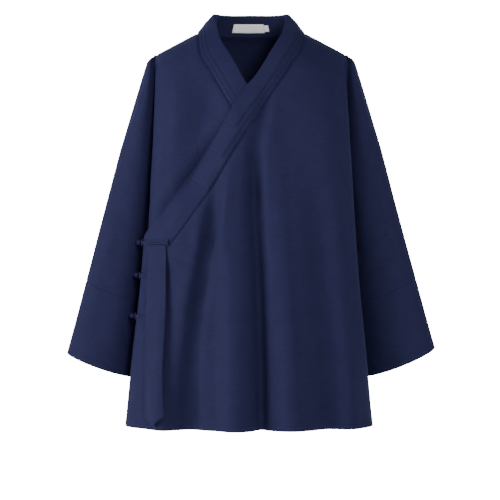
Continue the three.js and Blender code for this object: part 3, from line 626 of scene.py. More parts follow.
# How the cloth is sewn
sewing = {
    "thickness": 0.9,
    "hemDepth": 15,
    "hemExtra": 0.7,
    "hemRise": 0.3,
    "hemStep": 1.6,
    "hemStitch": 14.4,
    "hemGroove": 0.22,
    "hemGrooveWidth": 0.7,
    "edgeReach": 0.7,
    "hemRows": [0, 0.12, 0.35, 0.8, 1.6, 4, 8, 11.5, 13, 13.7, 14.4, 15.2, 16.4, 18.5, 22],
    "seamRows": [0, 0.12, 0.35, 0.8, 1.5, 2.4, 3.6, 5.4, 8],
    "seamDitch": 0.75,
    "seamWidth": 1.9,
    "underBand": 6,
    "leastRise": 60,
    "farSeam": 400,
    "farHem": 500,
    "pastArmpit": 80,
    "bandDip": 1.15,
    "bandDipEnds": (0.3, 2.6),
    "slopeDip": 0.3,
    "slopeDipEnds": (2, 9),
    "stitchLength": 2.4,
    "stitchPitch": 3.4,
    "threadRadius": 0.2,
    "threadSides": 5,
}


# Positions along a length: the given ones from the start, then even ones, then the given ones before the end
def spacing(startRows, endRows, count):
    def place(total):
        start = np.array(startRows, float)
        end = total - np.array(endRows, float)[::-1]
        middle = np.linspace(start[-1], end[0], count + 2)[1:-1]
        return np.concatenate([start, middle, end])

    return place


# Levels of a column between two ends, spaced by real length
def levelsBetween(face, column, low, high, place, onSleeve):
    sample = np.linspace(0, 1, 120)
    levels = []
    for c, a, b in zip(column, low, high):
        tries = mix(a, b, sample)
        length = runningLength(cutPoint(face, c + 0 * tries, tries, onSleeve), 0)
        levels.append(np.interp(place(length[-1]), length, tries))
    return np.array(levels)


# How far a face sinks towards the rounded edge of its layer
def edgeRound(distance, reach, depth):
    t = np.clip(1 - distance / reach, 0, 1)
    return depth * (1 - np.sqrt(1 - t * t))


# Cells of a grid of point numbers
def gridCells(grid, turned):
    a, b, c, d = grid[:-1, :-1], grid[1:, :-1], grid[1:, 1:], grid[:-1, 1:]
    order = (a, d, c, b) if turned else (a, b, c, d)
    return np.stack(order, -1).reshape(-1, 4)


# A sheet of cloth under construction: outer places, outward directions, distances from its edges, and cells
class Sheet:
    def __init__(self):
        self.points = []
        self.normals = []
        self.flat = []
        self.sink = []
        self.extra = []
        self.cells = []
        self.count = 0

    def add(self, points, normals, flat, seam, hem, dip=0):
        shape = points.shape[:-1]
        seam = np.broadcast_to(seam, shape)
        hem = np.broadcast_to(hem, shape)
        ditch = sewing["seamDitch"] * np.exp(-((seam / sewing["seamWidth"]) ** 2))
        fromStitch = (hem - sewing["hemStitch"]) / sewing["hemGrooveWidth"]
        groove = sewing["hemGroove"] * np.exp(-(fromStitch**2))
        inHem = 1 - smooth(hem, sewing["hemDepth"], sewing["hemDepth"] + sewing["hemStep"])
        sink = ditch + groove - sewing["hemRise"] * inHem + dip
        rounding = edgeRound(np.minimum(seam, hem), sewing["edgeReach"], sewing["thickness"] / 2)
        extra = sewing["hemExtra"] * inHem
        self.points.append(points.reshape(-1, 3))
        self.normals.append(normals.reshape(-1, 3))
        self.flat.append(flat.reshape(-1, 2))
        self.sink.append(np.stack([sink + rounding, sink - rounding], -1).reshape(-1, 2))
        self.extra.append(np.broadcast_to(extra, shape).reshape(-1))
        index = np.arange(self.count, self.count + points[..., 0].size).reshape(shape)
        self.count += index.size
        return index


# Writes a mesh object that rides on the robe, with the flat layout of its cloth in metres as UV map
def meshObject(name, points, cells, flat, material):
    mesh = bpy.data.meshes.new(name)
    mesh.from_pydata((points * metre).tolist(), [], cells)
    if flat is not None:
        layer = mesh.uv_layers.new(name="Flat")
        corners = np.empty(len(mesh.loops), np.int32)
        mesh.loops.foreach_get("vertex_index", corners)
        layer.data.foreach_set("uv", (flat[corners] * metre).ravel().astype(np.float32))
    mesh.polygons.foreach_set("use_smooth", np.ones(len(mesh.polygons), bool))
    mesh.materials.append(material)
    mesh.validate()
    mesh.update()
    piece = bpy.data.objects.new(name, mesh)
    bpy.context.scene.collection.objects.link(piece)
    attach(piece, "root")
    return piece


# Edges of a net of cells that belong to one cell only
def borderEdges(cells):
    pairs = np.concatenate([cells[:, [k, (k + 1) % 4]] for k in range(4)])
    keys = np.sort(pairs, axis=1)
    _, first, times = np.unique(keys, axis=0, return_index=True, return_counts=True)
    return pairs[first[times == 1]]


# Two faces of the same net of cells, walled in along their border
def shellObject(name, outer, inner, cells, flat, material):
    count = len(outer)
    edges = borderEdges(cells)
    walls = np.stack([edges[:, 0], edges[:, 0] + count, edges[:, 1] + count, edges[:, 1]], -1)
    allCells = np.concatenate([cells, cells[:, ::-1] + count, walls]).tolist()
    return meshObject(name, np.concatenate([outer, inner]), allCells, np.concatenate([flat, flat]), material)


def clothPiece(name, sheet):
    parts = (sheet.points, sheet.normals, sheet.flat, sheet.sink, sheet.extra, sheet.cells)
    points, normals, flat, sink, extra, cells = (np.concatenate(part) for part in parts)
    outer = points - normals * sink[:, :1]
    inner = points - normals * (sink[:, 1:] + (sewing["thickness"] + extra)[:, None])
    piece = shellObject(name + "_cloth", outer, inner, cells, flat, finishes["cloth"])
    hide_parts(name)


# A strip of cloth from a grid of places on its outer and its inner face
def stripPiece(name, suffix, outer, inner, lengths, turned, finish, slot, **declared):
    cells = gridCells(np.arange(outer[..., 0].size).reshape(outer.shape[:2]), turned)
    flat = np.stack(lengths, -1).reshape(-1, 2)
    outer = outer.reshape(-1, 3)
    piece = shellObject(name + suffix, outer, inner.reshape(-1, 3), cells, flat, finishes[finish])
    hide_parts(name)
    return piece


# Thread: short stitches along a line, each arched over the cloth and dipping in at its ends
def stitchPiece(name, lines):
    ringAt = np.array([-0.5, -0.3, 0.3, 0.5])
    ringSize = np.array([0.35, 1, 1, 0.35])
    ringLift = np.array([-0.2, 0.6, 0.6, -0.2])
    pitch, radius, sides = sewing["stitchPitch"], sewing["threadRadius"], sewing["threadSides"]
    angle = np.arange(sides) * 2 * math.pi / sides
    points = []
    cells = []
    count = 0
    for line, normals in lines:
        length = runningLength(line, 0)
        starts = np.arange(pitch / 2, length[-1] - pitch / 2, pitch)
        at = starts[:, None] + ringAt * sewing["stitchLength"]
        centre = np.stack([np.interp(at, length, line[:, k]) for k in range(3)], -1)
        up = unit(np.stack([np.interp(at, length, normals[:, k]) for k in range(3)], -1))
        side = unit(np.cross(up, centre[:, -1:] - centre[:, :1]))
        centre = centre + up * (ringLift * radius)[:, None]
        ring = side[:, :, None] * np.cos(angle)[:, None] + up[:, :, None] * np.sin(angle)[:, None]
        spots = centre[:, :, None] + ring * (ringSize * radius)[:, None, None]
        index = count + np.arange(spots[..., 0].size).reshape(spots.shape[:3])
        turned = np.roll(index, -1, axis=2)
        walls = np.stack([index[:, :-1], turned[:, :-1], turned[:, 1:], index[:, 1:]], -1)
        cells += walls.reshape(-1, 4).tolist()
        cells += np.stack([index[:, 0, ::-1], index[:, -1]], 1).reshape(-1, sides).tolist()
        points.append(spots.reshape(-1, 3))
        count += spots[..., 0].size
    piece = meshObject(name, np.concatenate(points), cells, None, finishes["thread"])


# Shader building
def addNode(tree, kind, settings=None, **values):
    node = tree.nodes.new(kind)
    for key, value in (settings or {}).items():
        setattr(node, key, value)
    for key, value in values.items():
        node.inputs[key].default_value = value
    return node


def mathNode(tree, operation, a, b=None):
    node = addNode(tree, "ShaderNodeMath", {"operation": operation})
    for socket, value in zip(node.inputs, (a, b)):
        if value is None:
            continue
        if isinstance(value, (int, float)):
            socket.default_value = value
        else:
            tree.links.new(value, socket)
    return node.outputs[0]


def newGroup(name, inputs, outputs):
    group = bpy.data.node_groups.new(name, "ShaderNodeTree")
    for label, kind, default in inputs:
        socket = group.interface.new_socket(label, in_out="INPUT", socket_type=kind)
        if default is not None:
            socket.default_value = default
    for label, kind in outputs:
        group.interface.new_socket(label, in_out="OUTPUT", socket_type=kind)
    return group, group.nodes.new("NodeGroupInput").outputs, group.nodes.new("NodeGroupOutput").inputs


floatSocket = "NodeSocketFloat"


# Fine plain weave: warp and weft threads that pass over and under each other
def weaveGroup():
    group, given, made = newGroup(
        "Plain weave",
        [("Layout", "NodeSocketVector", None), ("Thread pitch", floatSocket, 0.0006)],
        [("Height", floatSocket)],
    )
    axes = addNode(group, "ShaderNodeSeparateXYZ")
    group.links.new(given["Layout"], axes.inputs[0])
    turns = mathNode(group, "DIVIDE", math.pi, given["Thread pitch"])
    warp = mathNode(group, "SINE", mathNode(group, "MULTIPLY", axes.outputs["X"], turns))
    weft = mathNode(group, "SINE", mathNode(group, "MULTIPLY", axes.outputs["Y"], turns))
    crossed = mathNode(group, "MULTIPLY", warp, weft)
    height = mathNode(group, "ADD", mathNode(group, "MULTIPLY", crossed, 0.5), 0.5)
    group.links.new(height, made["Height"])
    return group


# Uneven yarn: long streaks across the cloth, with soft patches and fine fuzz over them
noises = {
    "Streaks": {"Scale": 1.0, "Detail": 2.0, "Roughness": 0.5},
    "Patches": {"Scale": 26.0, "Detail": 3.0, "Roughness": 0.55},
    "Fuzz": {"Scale": 900.0, "Detail": 1.0, "Roughness": 0.6},
}


def yarnGroup():
    group, given, made = newGroup(
        "Uneven yarn",
        [
            ("Layout", "NodeSocketVector", None),
            ("Streak length", floatSocket, 0.03),
            ("Streak height", floatSocket, 0.0016),
        ],
        [(label, floatSocket) for label in noises],
    )
    axes = addNode(group, "ShaderNodeSeparateXYZ")
    group.links.new(given["Layout"], axes.inputs[0])
    joined = addNode(group, "ShaderNodeCombineXYZ")
    group.links.new(mathNode(group, "DIVIDE", axes.outputs["X"], given["Streak length"]), joined.inputs["X"])
    group.links.new(mathNode(group, "DIVIDE", axes.outputs["Y"], given["Streak height"]), joined.inputs["Y"])
    for label, values in noises.items():
        noise = addNode(group, "ShaderNodeTexNoise", **values)
        layout = joined.outputs[0] if label == "Streaks" else given["Layout"]
        group.links.new(layout, noise.inputs["Vector"])
        group.links.new(noise.outputs["Fac"], made[label])
    return group


groups = {"weave": weaveGroup(), "yarn": yarnGroup()}


def clothMaterial(name, look):
    material = bpy.data.materials.new(name)
    material.use_nodes = True
    tree = material.node_tree
    shader = tree.nodes["Principled BSDF"]
    layout = addNode(tree, "ShaderNodeUVMap", {"uv_map": "Flat"})
    pitch = {"Thread pitch": look["pitch"]}
    streaks = {"Streak length": look["streakLength"], "Streak height": look["streakHeight"]}
    weave = addNode(tree, "ShaderNodeGroup", {"node_tree": groups["weave"]}, **pitch)
    yarn = addNode(tree, "ShaderNodeGroup", {"node_tree": groups["yarn"]}, **streaks)
    for node in (weave, yarn):
        tree.links.new(layout.outputs["UV"], node.inputs["Layout"])

    def weighed(node, output, share):
        return mathNode(tree, "MULTIPLY", node.outputs[output], share)

    streakShade = weighed(yarn, "Streaks", look["streakShare"])
    blended = mathNode(tree, "ADD", streakShade, weighed(yarn, "Patches", 1 - look["streakShare"]))
    limits = {"From Min": look["contrast"][0], "From Max": look["contrast"][1]}
    contrast = addNode(tree, "ShaderNodeMapRange", {"interpolation_type": "SMOOTHSTEP"}, **limits)
    tree.links.new(blended, contrast.inputs["Value"])
    ends = {"A": (*look["dark"], 1), "B": (*look["light"], 1)}
    colour = addNode(tree, "ShaderNodeMix", {"data_type": "RGBA"}, **ends)
    tree.links.new(contrast.outputs["Result"], colour.inputs["Factor"])
    tree.links.new(colour.outputs["Result"], shader.inputs["Base Color"])
    limits = {"To Min": look["roughness"][0], "To Max": look["roughness"][1]}
    rough = addNode(tree, "ShaderNodeMapRange", **limits)
    tree.links.new(yarn.outputs["Fuzz"], rough.inputs["Value"])
    tree.links.new(rough.outputs["Result"], shader.inputs["Roughness"])
    streakHeight = weighed(yarn, "Streaks", look["streakDepth"])
    patchHeight = weighed(yarn, "Patches", look["patchDepth"])
    yarnHeight = mathNode(tree, "ADD", streakHeight, patchHeight)
    heights = mathNode(tree, "ADD", weighed(weave, "Height", look["weaveDepth"]), yarnHeight)
    bump = addNode(tree, "ShaderNodeBump", Strength=1.0, Distance=1.0)
    tree.links.new(heights, bump.inputs["Height"])
    tree.links.new(bump.outputs["Normal"], shader.inputs["Normal"])
    shader.inputs["Sheen Weight"].default_value = look["sheen"]
    shader.inputs["Sheen Roughness"].default_value = look["sheenRoughness"]
    shader.inputs["Sheen Tint"].default_value = (*look["sheenTint"], 1)
    shader.inputs["Specular IOR Level"].default_value = look["specular"]
    return material


looks = {
    "cloth": {
        "dark": (0.0102, 0.0107, 0.0380),
        "light": (0.0122, 0.0128, 0.0452),
        "roughness": (0.66, 0.82),
        "pitch": 0.0007,
        "weaveDepth": 0.00003,
        "streakLength": 0.022,
        "streakHeight": 0.0016,
        "streakDepth": 0.00009,
        "streakShare": 0.6,
        "contrast": (0.34, 0.66),
        "patchDepth": 0.00005,
        "sheen": 0.12,
        "sheenRoughness": 0.45,
        "sheenTint": (0.3, 0.34, 0.8),
        "specular": 0.08,
    },
}
changedLooks = {
    "collar": {"dark": (0.0107, 0.0112, 0.0398), "light": (0.0119, 0.0125, 0.0441)},
    "cord": {"dark": (0.0108, 0.0113, 0.040), "light": (0.0128, 0.0134, 0.047), "roughness": (0.55, 0.7)},
    "thread": {"dark": (0.0112, 0.0118, 0.0412), "light": (0.0126, 0.0133, 0.0462)},
    "label": {
        "dark": (0.84, 0.84, 0.83),
        "light": (0.92, 0.92, 0.91),
        "sheen": 0.1,
        "sheenTint": (1, 1, 1),
        "streakLength": 0.012,
        "streakHeight": 0.0006,
        "patchDepth": 0.0001,
    },
}
looks |= {name: looks["cloth"] | change for name, change in changedLooks.items()}
finishes = {name: clothMaterial("Robe " + name, look) for name, look in looks.items()}
print("finishes made")


# Distance of each point to the nearest point of a line of closely spaced points
def distanceTo(line, points):
    flatPoints = points.reshape(-1, 3)
    nearest = np.empty(len(flatPoints))
    for start in range(0, len(flatPoints), 2000):
        part = flatPoints[start : start + 2000]
        nearest[start : start + 2000] = np.linalg.norm(part[:, None] - line[None], axis=-1).min(1)
    return nearest.reshape(points.shape[:-1])


# The line where the band is sewn to a panel, with the band's own end on the front panels
def seamLine(runName):
    run = bandRuns[runName]
    along = np.linspace(run["rows"][0], run["rows"][-1], 500)
    column = readTable(run["rows"], run["seamColumn"], along)
    level = readTable(run["rows"], run["seamLevel"], along)
    if runName != "back":
        end = 0 if runName == "outer" else -1
        share = np.linspace(0, 1, 60)
        column = np.concatenate([column, mix(run["seamColumn"][end], run["edgeColumn"][end], share)])
        level = np.concatenate([level, mix(run["seamLevel"][end], run["edgeLevel"][end], share)])
    return layerPoint(runName, column, level)[0]


# Where the panels end under the collar band
def topLevel(runName, column):
    run = bandRuns[runName]
    face = faceOf[runName]
    rows, seamColumn = run["rows"], run["seamColumn"]
    along = np.linspace(rows[0], rows[-1], 700)
    columns = readTable(rows, seamColumn, along)
    order = np.argsort(columns)
    at = np.interp(column, columns[order], along[order])
    near = readTable(rows, run["seamLevel"], at)

    def seamPoint(place):
        return cutPoint(face, readTable(rows, seamColumn, place), readTable(rows, run["seamLevel"], place))

    tangent = seamPoint(at + 0.02) - seamPoint(at - 0.02)
    up = (cutPoint(face, column, near) - cutPoint(face, column, near - 0.01)) / 0.01
    across = unit(np.cross(tangent, normalAt(face, column, near)))
    slope = np.abs((up * across).sum(-1))
    low, high = columns.min(), columns.max()
    under = sewing["underBand"] / np.maximum(slope, sewing["leastRise"])
    top = near + under
    end = 0 if runName == "outer" else -1
    if runName != "back":
        endColumn, edgeColumn = seamColumn[end], run["edgeColumn"][end]
        past = column < endColumn if runName == "outer" else column > endColumn
        share = (column - endColumn) / (edgeColumn - endColumn)
        drop = cut["armpitZ"] - cut["hemZ"]
        pastNear = mix(run["seamLevel"][end], run["edgeLevel"][end], share)
        near = np.where(past, pastNear, near)
        top = np.where(past, pastNear + sewing["underBand"] / drop, top)
    outside = (column < low) | (column > high)
    if runName == "outer":
        outside = column > high
    if runName == "under":
        outside = column < low
    return np.where(outside, 1, np.minimum(top, 1)), np.where(outside, 9, near)


panelGrid = {
    "lowerRows": 96,
    "upperRows": 52,
    "sleeveRows": 64,
    "sleeveColumns": 34,
    "sleeveWidth": 130,
    "unitWidth": 300,
    "steepColumns": 14,
    "tubeColumns": 120,
    "tubeRows": 34,
    "tubeLength": 420,
}


def sleeveAcross():
    width = panelGrid["sleeveWidth"]
    return spacing(sewing["seamRows"], sewing["seamRows"], panelGrid["sleeveColumns"])(width) / width


# A body panel with the upper sleeves that are cut in one with it
def bodyPanel(runName, columns, sleeves):
    sheet = Sheet()
    face = faceOf[runName]
    turned = face == "back"
    hemRise = cut["underHemRise"] if runName == "under" else 0
    top, near = topLevel(runName, columns)
    bottom = -1 + hemRise * smooth(columns, -1, freeColumn) / (cut["armpitZ"] - cut["hemZ"])
    split = (top + bottom) / 2
    split = np.where(top >= 1, 0, split)
    lowPlace = spacing(sewing["hemRows"], [0], panelGrid["lowerRows"])
    highPlace = spacing([0], sewing["seamRows"], panelGrid["upperRows"])
    lower = levelsBetween(face, columns, bottom, split, lowPlace, False)
    upper = levelsBetween(face, columns, split, top, highPlace, False)
    levels = np.concatenate([lower, upper[:, 1:]], 1)
    grid = columns[:, None] + 0 * levels
    points, normals = layerPoint(runName, grid, levels)
    up = runningLength(points, 1)
    armpitRow = lower.shape[1] - 1
    over = runningLength(points, 0)
    flat = flatPlace(face, grid, levels)
    toShoulder = (up[:, -1:] - up) + np.where(top >= 1, 0, sewing["farSeam"])[:, None]
    leftEnd, rightEnd = over, over[-1:] - over
    above = sewing["pastArmpit"] * smooth(levels, 0, 0.03)
    leftEnd = leftEnd + (above if -1 in sleeves else 0)
    rightEnd = rightEnd + (above if 1 in sleeves else 0)
    seam = np.minimum(toShoulder, np.minimum(leftEnd, rightEnd))
    toBand = distanceTo(seamLine(runName), points) * np.where(levels > near[:, None], -1, 1)
    dip = sewing["bandDip"] * (1 - smooth(toBand, *sewing["bandDipEnds"]))
    dip = dip + sewing["slopeDip"] * (1 - smooth(toBand, *sewing["slopeDipEnds"]))
    torsoIndex = sheet.add(points, normals, flat, seam, up, dip)
    sheet.cells.append(gridCells(torsoIndex, turned))
    across = sleeveAcross()
    sleevePlace = spacing(sewing["seamRows"], [0], panelGrid["sleeveRows"])
    for side in sleeves:
        sleeveColumns = side * (1 + across)
        shared = torsoIndex[-1] if side > 0 else torsoIndex[0]
        ones = 1 + 0 * across
        high = levelsBetween(face, sleeveColumns, 0 * ones, ones, highPlace, True)
        seamLevel = -sleeve["seamAlong"] * ones
        low = levelsBetween(face, sleeveColumns, seamLevel, 0 * ones, sleevePlace, True)
        both = np.concatenate([low, high[:, 1:]], 1)
        places, outward = drapedPoint(face, sleeveColumns[:, None] + 0 * both, both, True)
        sleeveUp = runningLength(places, 1)
        sleeveOver = runningLength(places, 0)
        base = flat[-1] if side > 0 else flat[0]
        zeroRow = low.shape[1] - 1
        baseU = np.concatenate([base[armpitRow, 0] + np.zeros(zeroRow), base[armpitRow:, 0]])
        sleeveFlat = np.stack([baseU + side * sleeveOver, sleeveUp - sleeveUp[:, zeroRow : zeroRow + 1]], -1)
        toTop = sleeveUp[:, -1:] - sleeveUp
        toOuter = sleeveOver[-1:] - sleeveOver
        toUnder = sleeveOver + sewing["pastArmpit"] * smooth(both, -0.01, 0.03)
        sleeveSeam = np.minimum(np.minimum(toTop, toOuter), np.minimum(toUnder, sleeveUp))
        index = sheet.add(places, outward, sleeveFlat, sleeveSeam, sewing["farHem"])
        index[0, zeroRow:] = shared[armpitRow:]
        if side < 0:
            index = index[::-1]
        sheet.cells.append(gridCells(index, turned))
    return sheet, (points, normals, up)


# Columns of a panel, close together where the band's seam climbs steeply beside the neck
def panelColumns(low, high, count, lowEdge, highEdge, runName):
    start = low + np.array(lowEdge) / panelGrid["unitWidth"]
    end = (high - np.array(highEdge) / panelGrid["unitWidth"])[::-1]
    columns = np.concatenate([start, np.linspace(start[-1], end[0], count + 2)[1:-1], end])
    if runName == "back":
        return columns
    seam = bandRuns[runName]["seamColumn"]
    steep = np.sort(seam[:2] if runName == "under" else seam[-2:])
    spare = (columns < steep[0] - 0.001) | (columns > steep[1] + 0.001)
    return np.sort(np.concatenate([columns[spare], np.linspace(*steep, panelGrid["steepColumns"])]))


hemStitchLines = []


def addHemStitches(points, normals, up):
    row = np.array([np.abs(column - sewing["hemStitch"]).argmin() for column in up])
    columns = np.arange(len(row))
    hemStitchLines.append((points[columns, row], normals[columns, row]))


# Each panel: its stretch of the band, its end columns, their count, its edges, its sleeves
underEnd = bandRuns["under"]["edgeColumn"][-1]
panels = {
    "front_outer": ("outer", (freeColumn, 1), 150, ("hemRows", "seamRows"), [1]),
    "front_under": ("under", (-1, underEnd), 110, ("seamRows", "hemRows"), [-1]),
    "back": ("back", (-1, 1), 150, ("seamRows", "seamRows"), [-1, 1]),
}
for name, (runName, ends, count, edges, sleeves) in panels.items():
    columns = panelColumns(*ends, count, *(sewing[edge] for edge in edges), runName)
    sheet, hemGrid = bodyPanel(runName, columns, sleeves)
    clothPiece(name, sheet)
    addHemStitches(*hemGrid)
print("body panels draped")


# Sleeve ends: a tube from the seam on the forearm to the cuff
def sleeveEnd(name, side):
    sheet = Sheet()
    around = np.linspace(0, 2, panelGrid["tubeColumns"] + 1)[:-1]
    lengths = spacing(sewing["hemRows"], sewing["seamRows"], panelGrid["tubeRows"])
    total = (1 - sleeve["seamAlong"]) * panelGrid["tubeLength"]
    along = 1 - lengths(total) / panelGrid["tubeLength"]
    u, v = np.meshgrid(around, along, indexing="ij")
    isFront = u <= 1
    places = np.zeros(u.shape + (3,))
    outward = np.zeros_like(places)
    for face, mask in (("front", isFront), ("back", ~isFront)):
        q = u[mask] if face == "front" else 2 - u[mask]
        places[mask], outward[mask] = drapedPoint(face, side * (1 + q), -v[mask], True)
    closed = np.concatenate([places, places[:1]])
    over = runningLength(closed, 0)
    up = runningLength(closed, 1)
    flat = np.stack([side * over, up], -1)
    seam = np.minimum(nearerEnd(over), up[:, -1:] - up)
    outward = np.concatenate([outward, outward[:1]])
    index = sheet.add(closed, outward, flat, seam, up)
    index = index if side > 0 else index[::-1]
    sheet.cells.append(gridCells(index, False))
    clothPiece(name, sheet)
    addHemStitches(closed, outward, up)


sleeveEnd("sleeve_end_left", 1)
sleeveEnd("sleeve_end_right", -1)
stitchPiece("hem_stitches", hemStitchLines)
print("sleeve ends and hems sewn")


# Collar band and its raised steps, each a doubled layer with pressed edges
def bandGrid(first, last, start):
    along = np.linspace(first, last, int(band["samples"] * (last - first)))
    endAlong = np.array(band["rows"][: band["endRows"]]) / band["rowLength"]
    inside = (along > first + endAlong[-1] + 0.01) & (along < last - endAlong[-1] - 0.01)
    along = np.unique(np.concatenate([along[inside], first + endAlong, last - endAlong]))
    total = band["width"] * (1 - start)
    across = start + spacing(band["rows"], band["rows"], band["middleColumns"])(total) / band["width"]
    return bandPoint(along[:, None], across[None])


# Directions square to a grid of points, facing the front at one of them, and whether they had to be turned
def frontNormals(points, row, column):
    normals = unit(np.cross(np.gradient(points, axis=0), np.gradient(points, axis=1)))
    turned = normals[row, column, 1] > 0
    return -normals if turned else normals, turned


collarLines = []


# Soft grooves pressed in along a line of stitches
def groove(distance, depth, width):
    return depth * np.exp(-(((distance - band["stitchInset"]) / width) ** 2))


def bandLayer(name, first, last, start, low, high):
    points = bandGrid(first, last, start)
    normals, turned = frontNormals(points, len(points) // 6, points.shape[1] // 2)
    along = runningLength(points, 0)
    across = runningLength(points, 1)
    endEdge = nearerEnd(along)
    seamEdge = np.minimum(across, endEdge)
    neckEdge = across[:, -1:] - across
    rounding = edgeRound(np.minimum(seamEdge, neckEdge), band["edgeReach"], (high - low) * band["edgeShare"])
    pressed = groove(seamEdge, *band["seamGroove"]) + groove(neckEdge, *band["neckGroove"])
    pressed = np.maximum(pressed, groove(endEdge, *band["endGroove"]))
    outer = points + normals * (high - rounding - pressed)[..., None]
    inner = points + normals * (low + rounding)[..., None]
    stripPiece(name, "_cloth", outer, inner, (along, across), not turned, "collar", "collar", held="folded")
    inset = np.abs(across[0] - band["stitchInset"]).argmin()
    for column in (inset, len(across[0]) - 1 - inset):
        collarLines.append((outer[3:-3, column], normals[3:-3, column]))


bandLayer("collar_band", 0, len(band["seamX"]) - 1, 0, band["low"], band["high"])
for step in bandSteps:
    bandLayer(**step)
stitchPiece("collar_stitches", collarLines)
print("collar sewn")


# A point at a place seen from the front, raised over the outer front
def overFront(x, z, lift):
    spotX = np.array(x, float)
    spotZ = np.array(z, float)
    for _ in range(3):
        column, level = placeOn("front", spotX, spotZ, 4)
        points, normal = drapedPoint("front", column, level)
        points = points + normal * (outerLift(points[..., 0], level) + lift)[..., None]
        spotX = spotX + x - points[..., 0]
        spotZ = spotZ + z - points[..., 2]
    return points


ribbon = {
    "z": [-419, -445, -470, -560, -680, -749],
    "leftX": [-204, -202, -202, -205, -206, -206],
    "rightX": [-164.5, -164, -164, -164, -165, -165.5],
    "leftLift": [1.5, 3, 5.8, 6, 6, 6],
    "rightLift": [1.3, 3.6, 7, 9, 10, 10],
    "pointZ": -769,
    "width": 40,
    "length": 330,
    "thickness": 1.3,
    "edgeReach": 0.9,
    "edgeShare": 0.9,
    "edges": [0, 0.15, 0.45, 0.9, 1.6, 2.4, 3.4],
    "stitchInset": 2.2,
}


def makeRibbon():
    across = spacing(ribbon["edges"], ribbon["edges"], 7)(ribbon["width"]) / ribbon["width"]
    down = np.unique(np.concatenate([[0, 0.2, 0.5, 1], np.linspace(2, ribbon["length"], 84)]))
    s, t = np.meshgrid(down, across, indexing="ij")
    top = ribbon["z"][0]
    columns = ("leftX", "rightX", "leftLift", "rightLift")
    left, right, leftLift, rightLift = (readTable(ribbon["z"], ribbon[key], top - s) for key in columns)
    stretch = 1 + (ribbon["z"][-1] - ribbon["pointZ"]) * (1 - np.abs(t - 0.5) * 2) / ribbon["length"]
    points = overFront(mix(left, right, t), top - s * stretch, mix(leftLift, rightLift, t))
    normals, turned = frontNormals(points, 20, 5)
    along = runningLength(points, 0)
    over = runningLength(points, 1)
    edge = np.minimum(nearerEnd(over, 1), along[-1:] - along)
    half = ribbon["thickness"] / 2
    offset = normals * (half - edgeRound(edge, ribbon["edgeReach"], half * ribbon["edgeShare"]))[..., None]
    outer = points + offset
    inner = points - offset
    stripPiece("ribbon", "_cloth", outer, inner, (over, along), not turned, "cloth", "cloth", held="hung")
    inset = np.abs(over[0] - ribbon["stitchInset"]).argmin()
    lines = [(outer[4:-4, c], normals[4:-4, c]) for c in (inset, over.shape[1] - 1 - inset)]
    stitchPiece("ribbon_stitches", lines)


makeRibbon()
print("ribbon hung")


# A round cord of rolled cloth along a line, with a fine spiral in its surface
def tubeAlong(line, radius, sides, spiralDepth=0.07, closed=False):
    count = len(line)
    tangent = unit(np.roll(line, -1, 0) - np.roll(line, 1, 0) if closed else np.gradient(line, axis=0))
    normal = np.zeros_like(line)
    normal[0] = unit(np.cross(tangent[0], [0, 0, 1.0]))
    for n in range(1, count):
        normal[n] = unit(normal[n - 1] - tangent[n] * (normal[n - 1] @ tangent[n]))
    binormal = np.cross(tangent, normal)
    length = runningLength(line, 0)[:, None]
    angle = np.arange(sides)[None] * 2 * math.pi / sides
    twist = length * 2 * math.pi / frogs["spiralPitch"]
    size = radius * (1 + spiralDepth * np.cos(2 * (angle + twist)))
    if not closed:
        size = size * np.sqrt(np.clip(1 - np.clip(1 - nearerEnd(length) / radius, 0, 1) ** 2, 0.02, 1))
    ring = normal[:, None] * np.cos(angle)[..., None] + binormal[:, None] * np.sin(angle)[..., None]
    points = (line[:, None] + ring * size[..., None]).reshape(-1, 3)
    index = np.arange(count * sides).reshape(count, sides)
    rows = np.concatenate([index, index[:1]]) if closed else index
    turned = np.roll(rows, -1, 1)
    cells = np.stack([rows[:-1], turned[:-1], turned[1:], rows[1:]], -1).reshape(-1, 4).tolist()
    if not closed:
        cells += [index[0, ::-1].tolist(), index[-1].tolist()]
    flat = np.stack(np.broadcast_arrays(angle * radius, length), -1).reshape(-1, 2)
    return points, cells, flat


def cordPiece(name, tubes):
    cells = []
    count = 0
    for tubePoints, tubeCells, _ in tubes:
        cells += [[corner + count for corner in cell] for cell in tubeCells]
        count += len(tubePoints)
    points, _, flat = zip(*tubes)
    piece = meshObject(name + "_cord", np.concatenate(points), cells, np.concatenate(flat), finishes["cord"])
    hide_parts(name)


frogs = {
    "rows": [("top", -414, 3.0, -161), ("middle", -479, 2.2, -172), ("bottom", -560, 2.2, -172)],
    "cordRadius": 1.6,
    "cordSpacing": 3.6,
    "eyeRadius": 5.6,
    "eyeReach": 6,
    "barEndTurn": 5,
    "ballRadius": 5.6,
    "ballLift": 6.2,
    "knotDip": 3.2,
    "tailTurns": [96, 102],
    "knotCord": 1.3,
    "knotLeads": 3,
    "knotBights": 4,
    "knotWeave": 0.95,
    "knotReach": 1.02,
    "coreRadius": 3.2,
    "coreHalfLength": 3.9,
    "spiralPitch": 5.0,
    "eyeOpening": (0.3, 1.7),
    "loopPoints": 240,
    "loopSides": 14,
    "tailPoints": 50,
    "tailSides": 12,
    "knotPoints": 180,
    "knotSides": 10,
    "coreSides": 14,
}


def levelAt(z, column):
    column = np.asarray(column, float)
    return solve(-1 + 0 * column, 0.5 + 0 * column, lambda v: cutPoint("front", column, v)[..., 2] - z, 26)


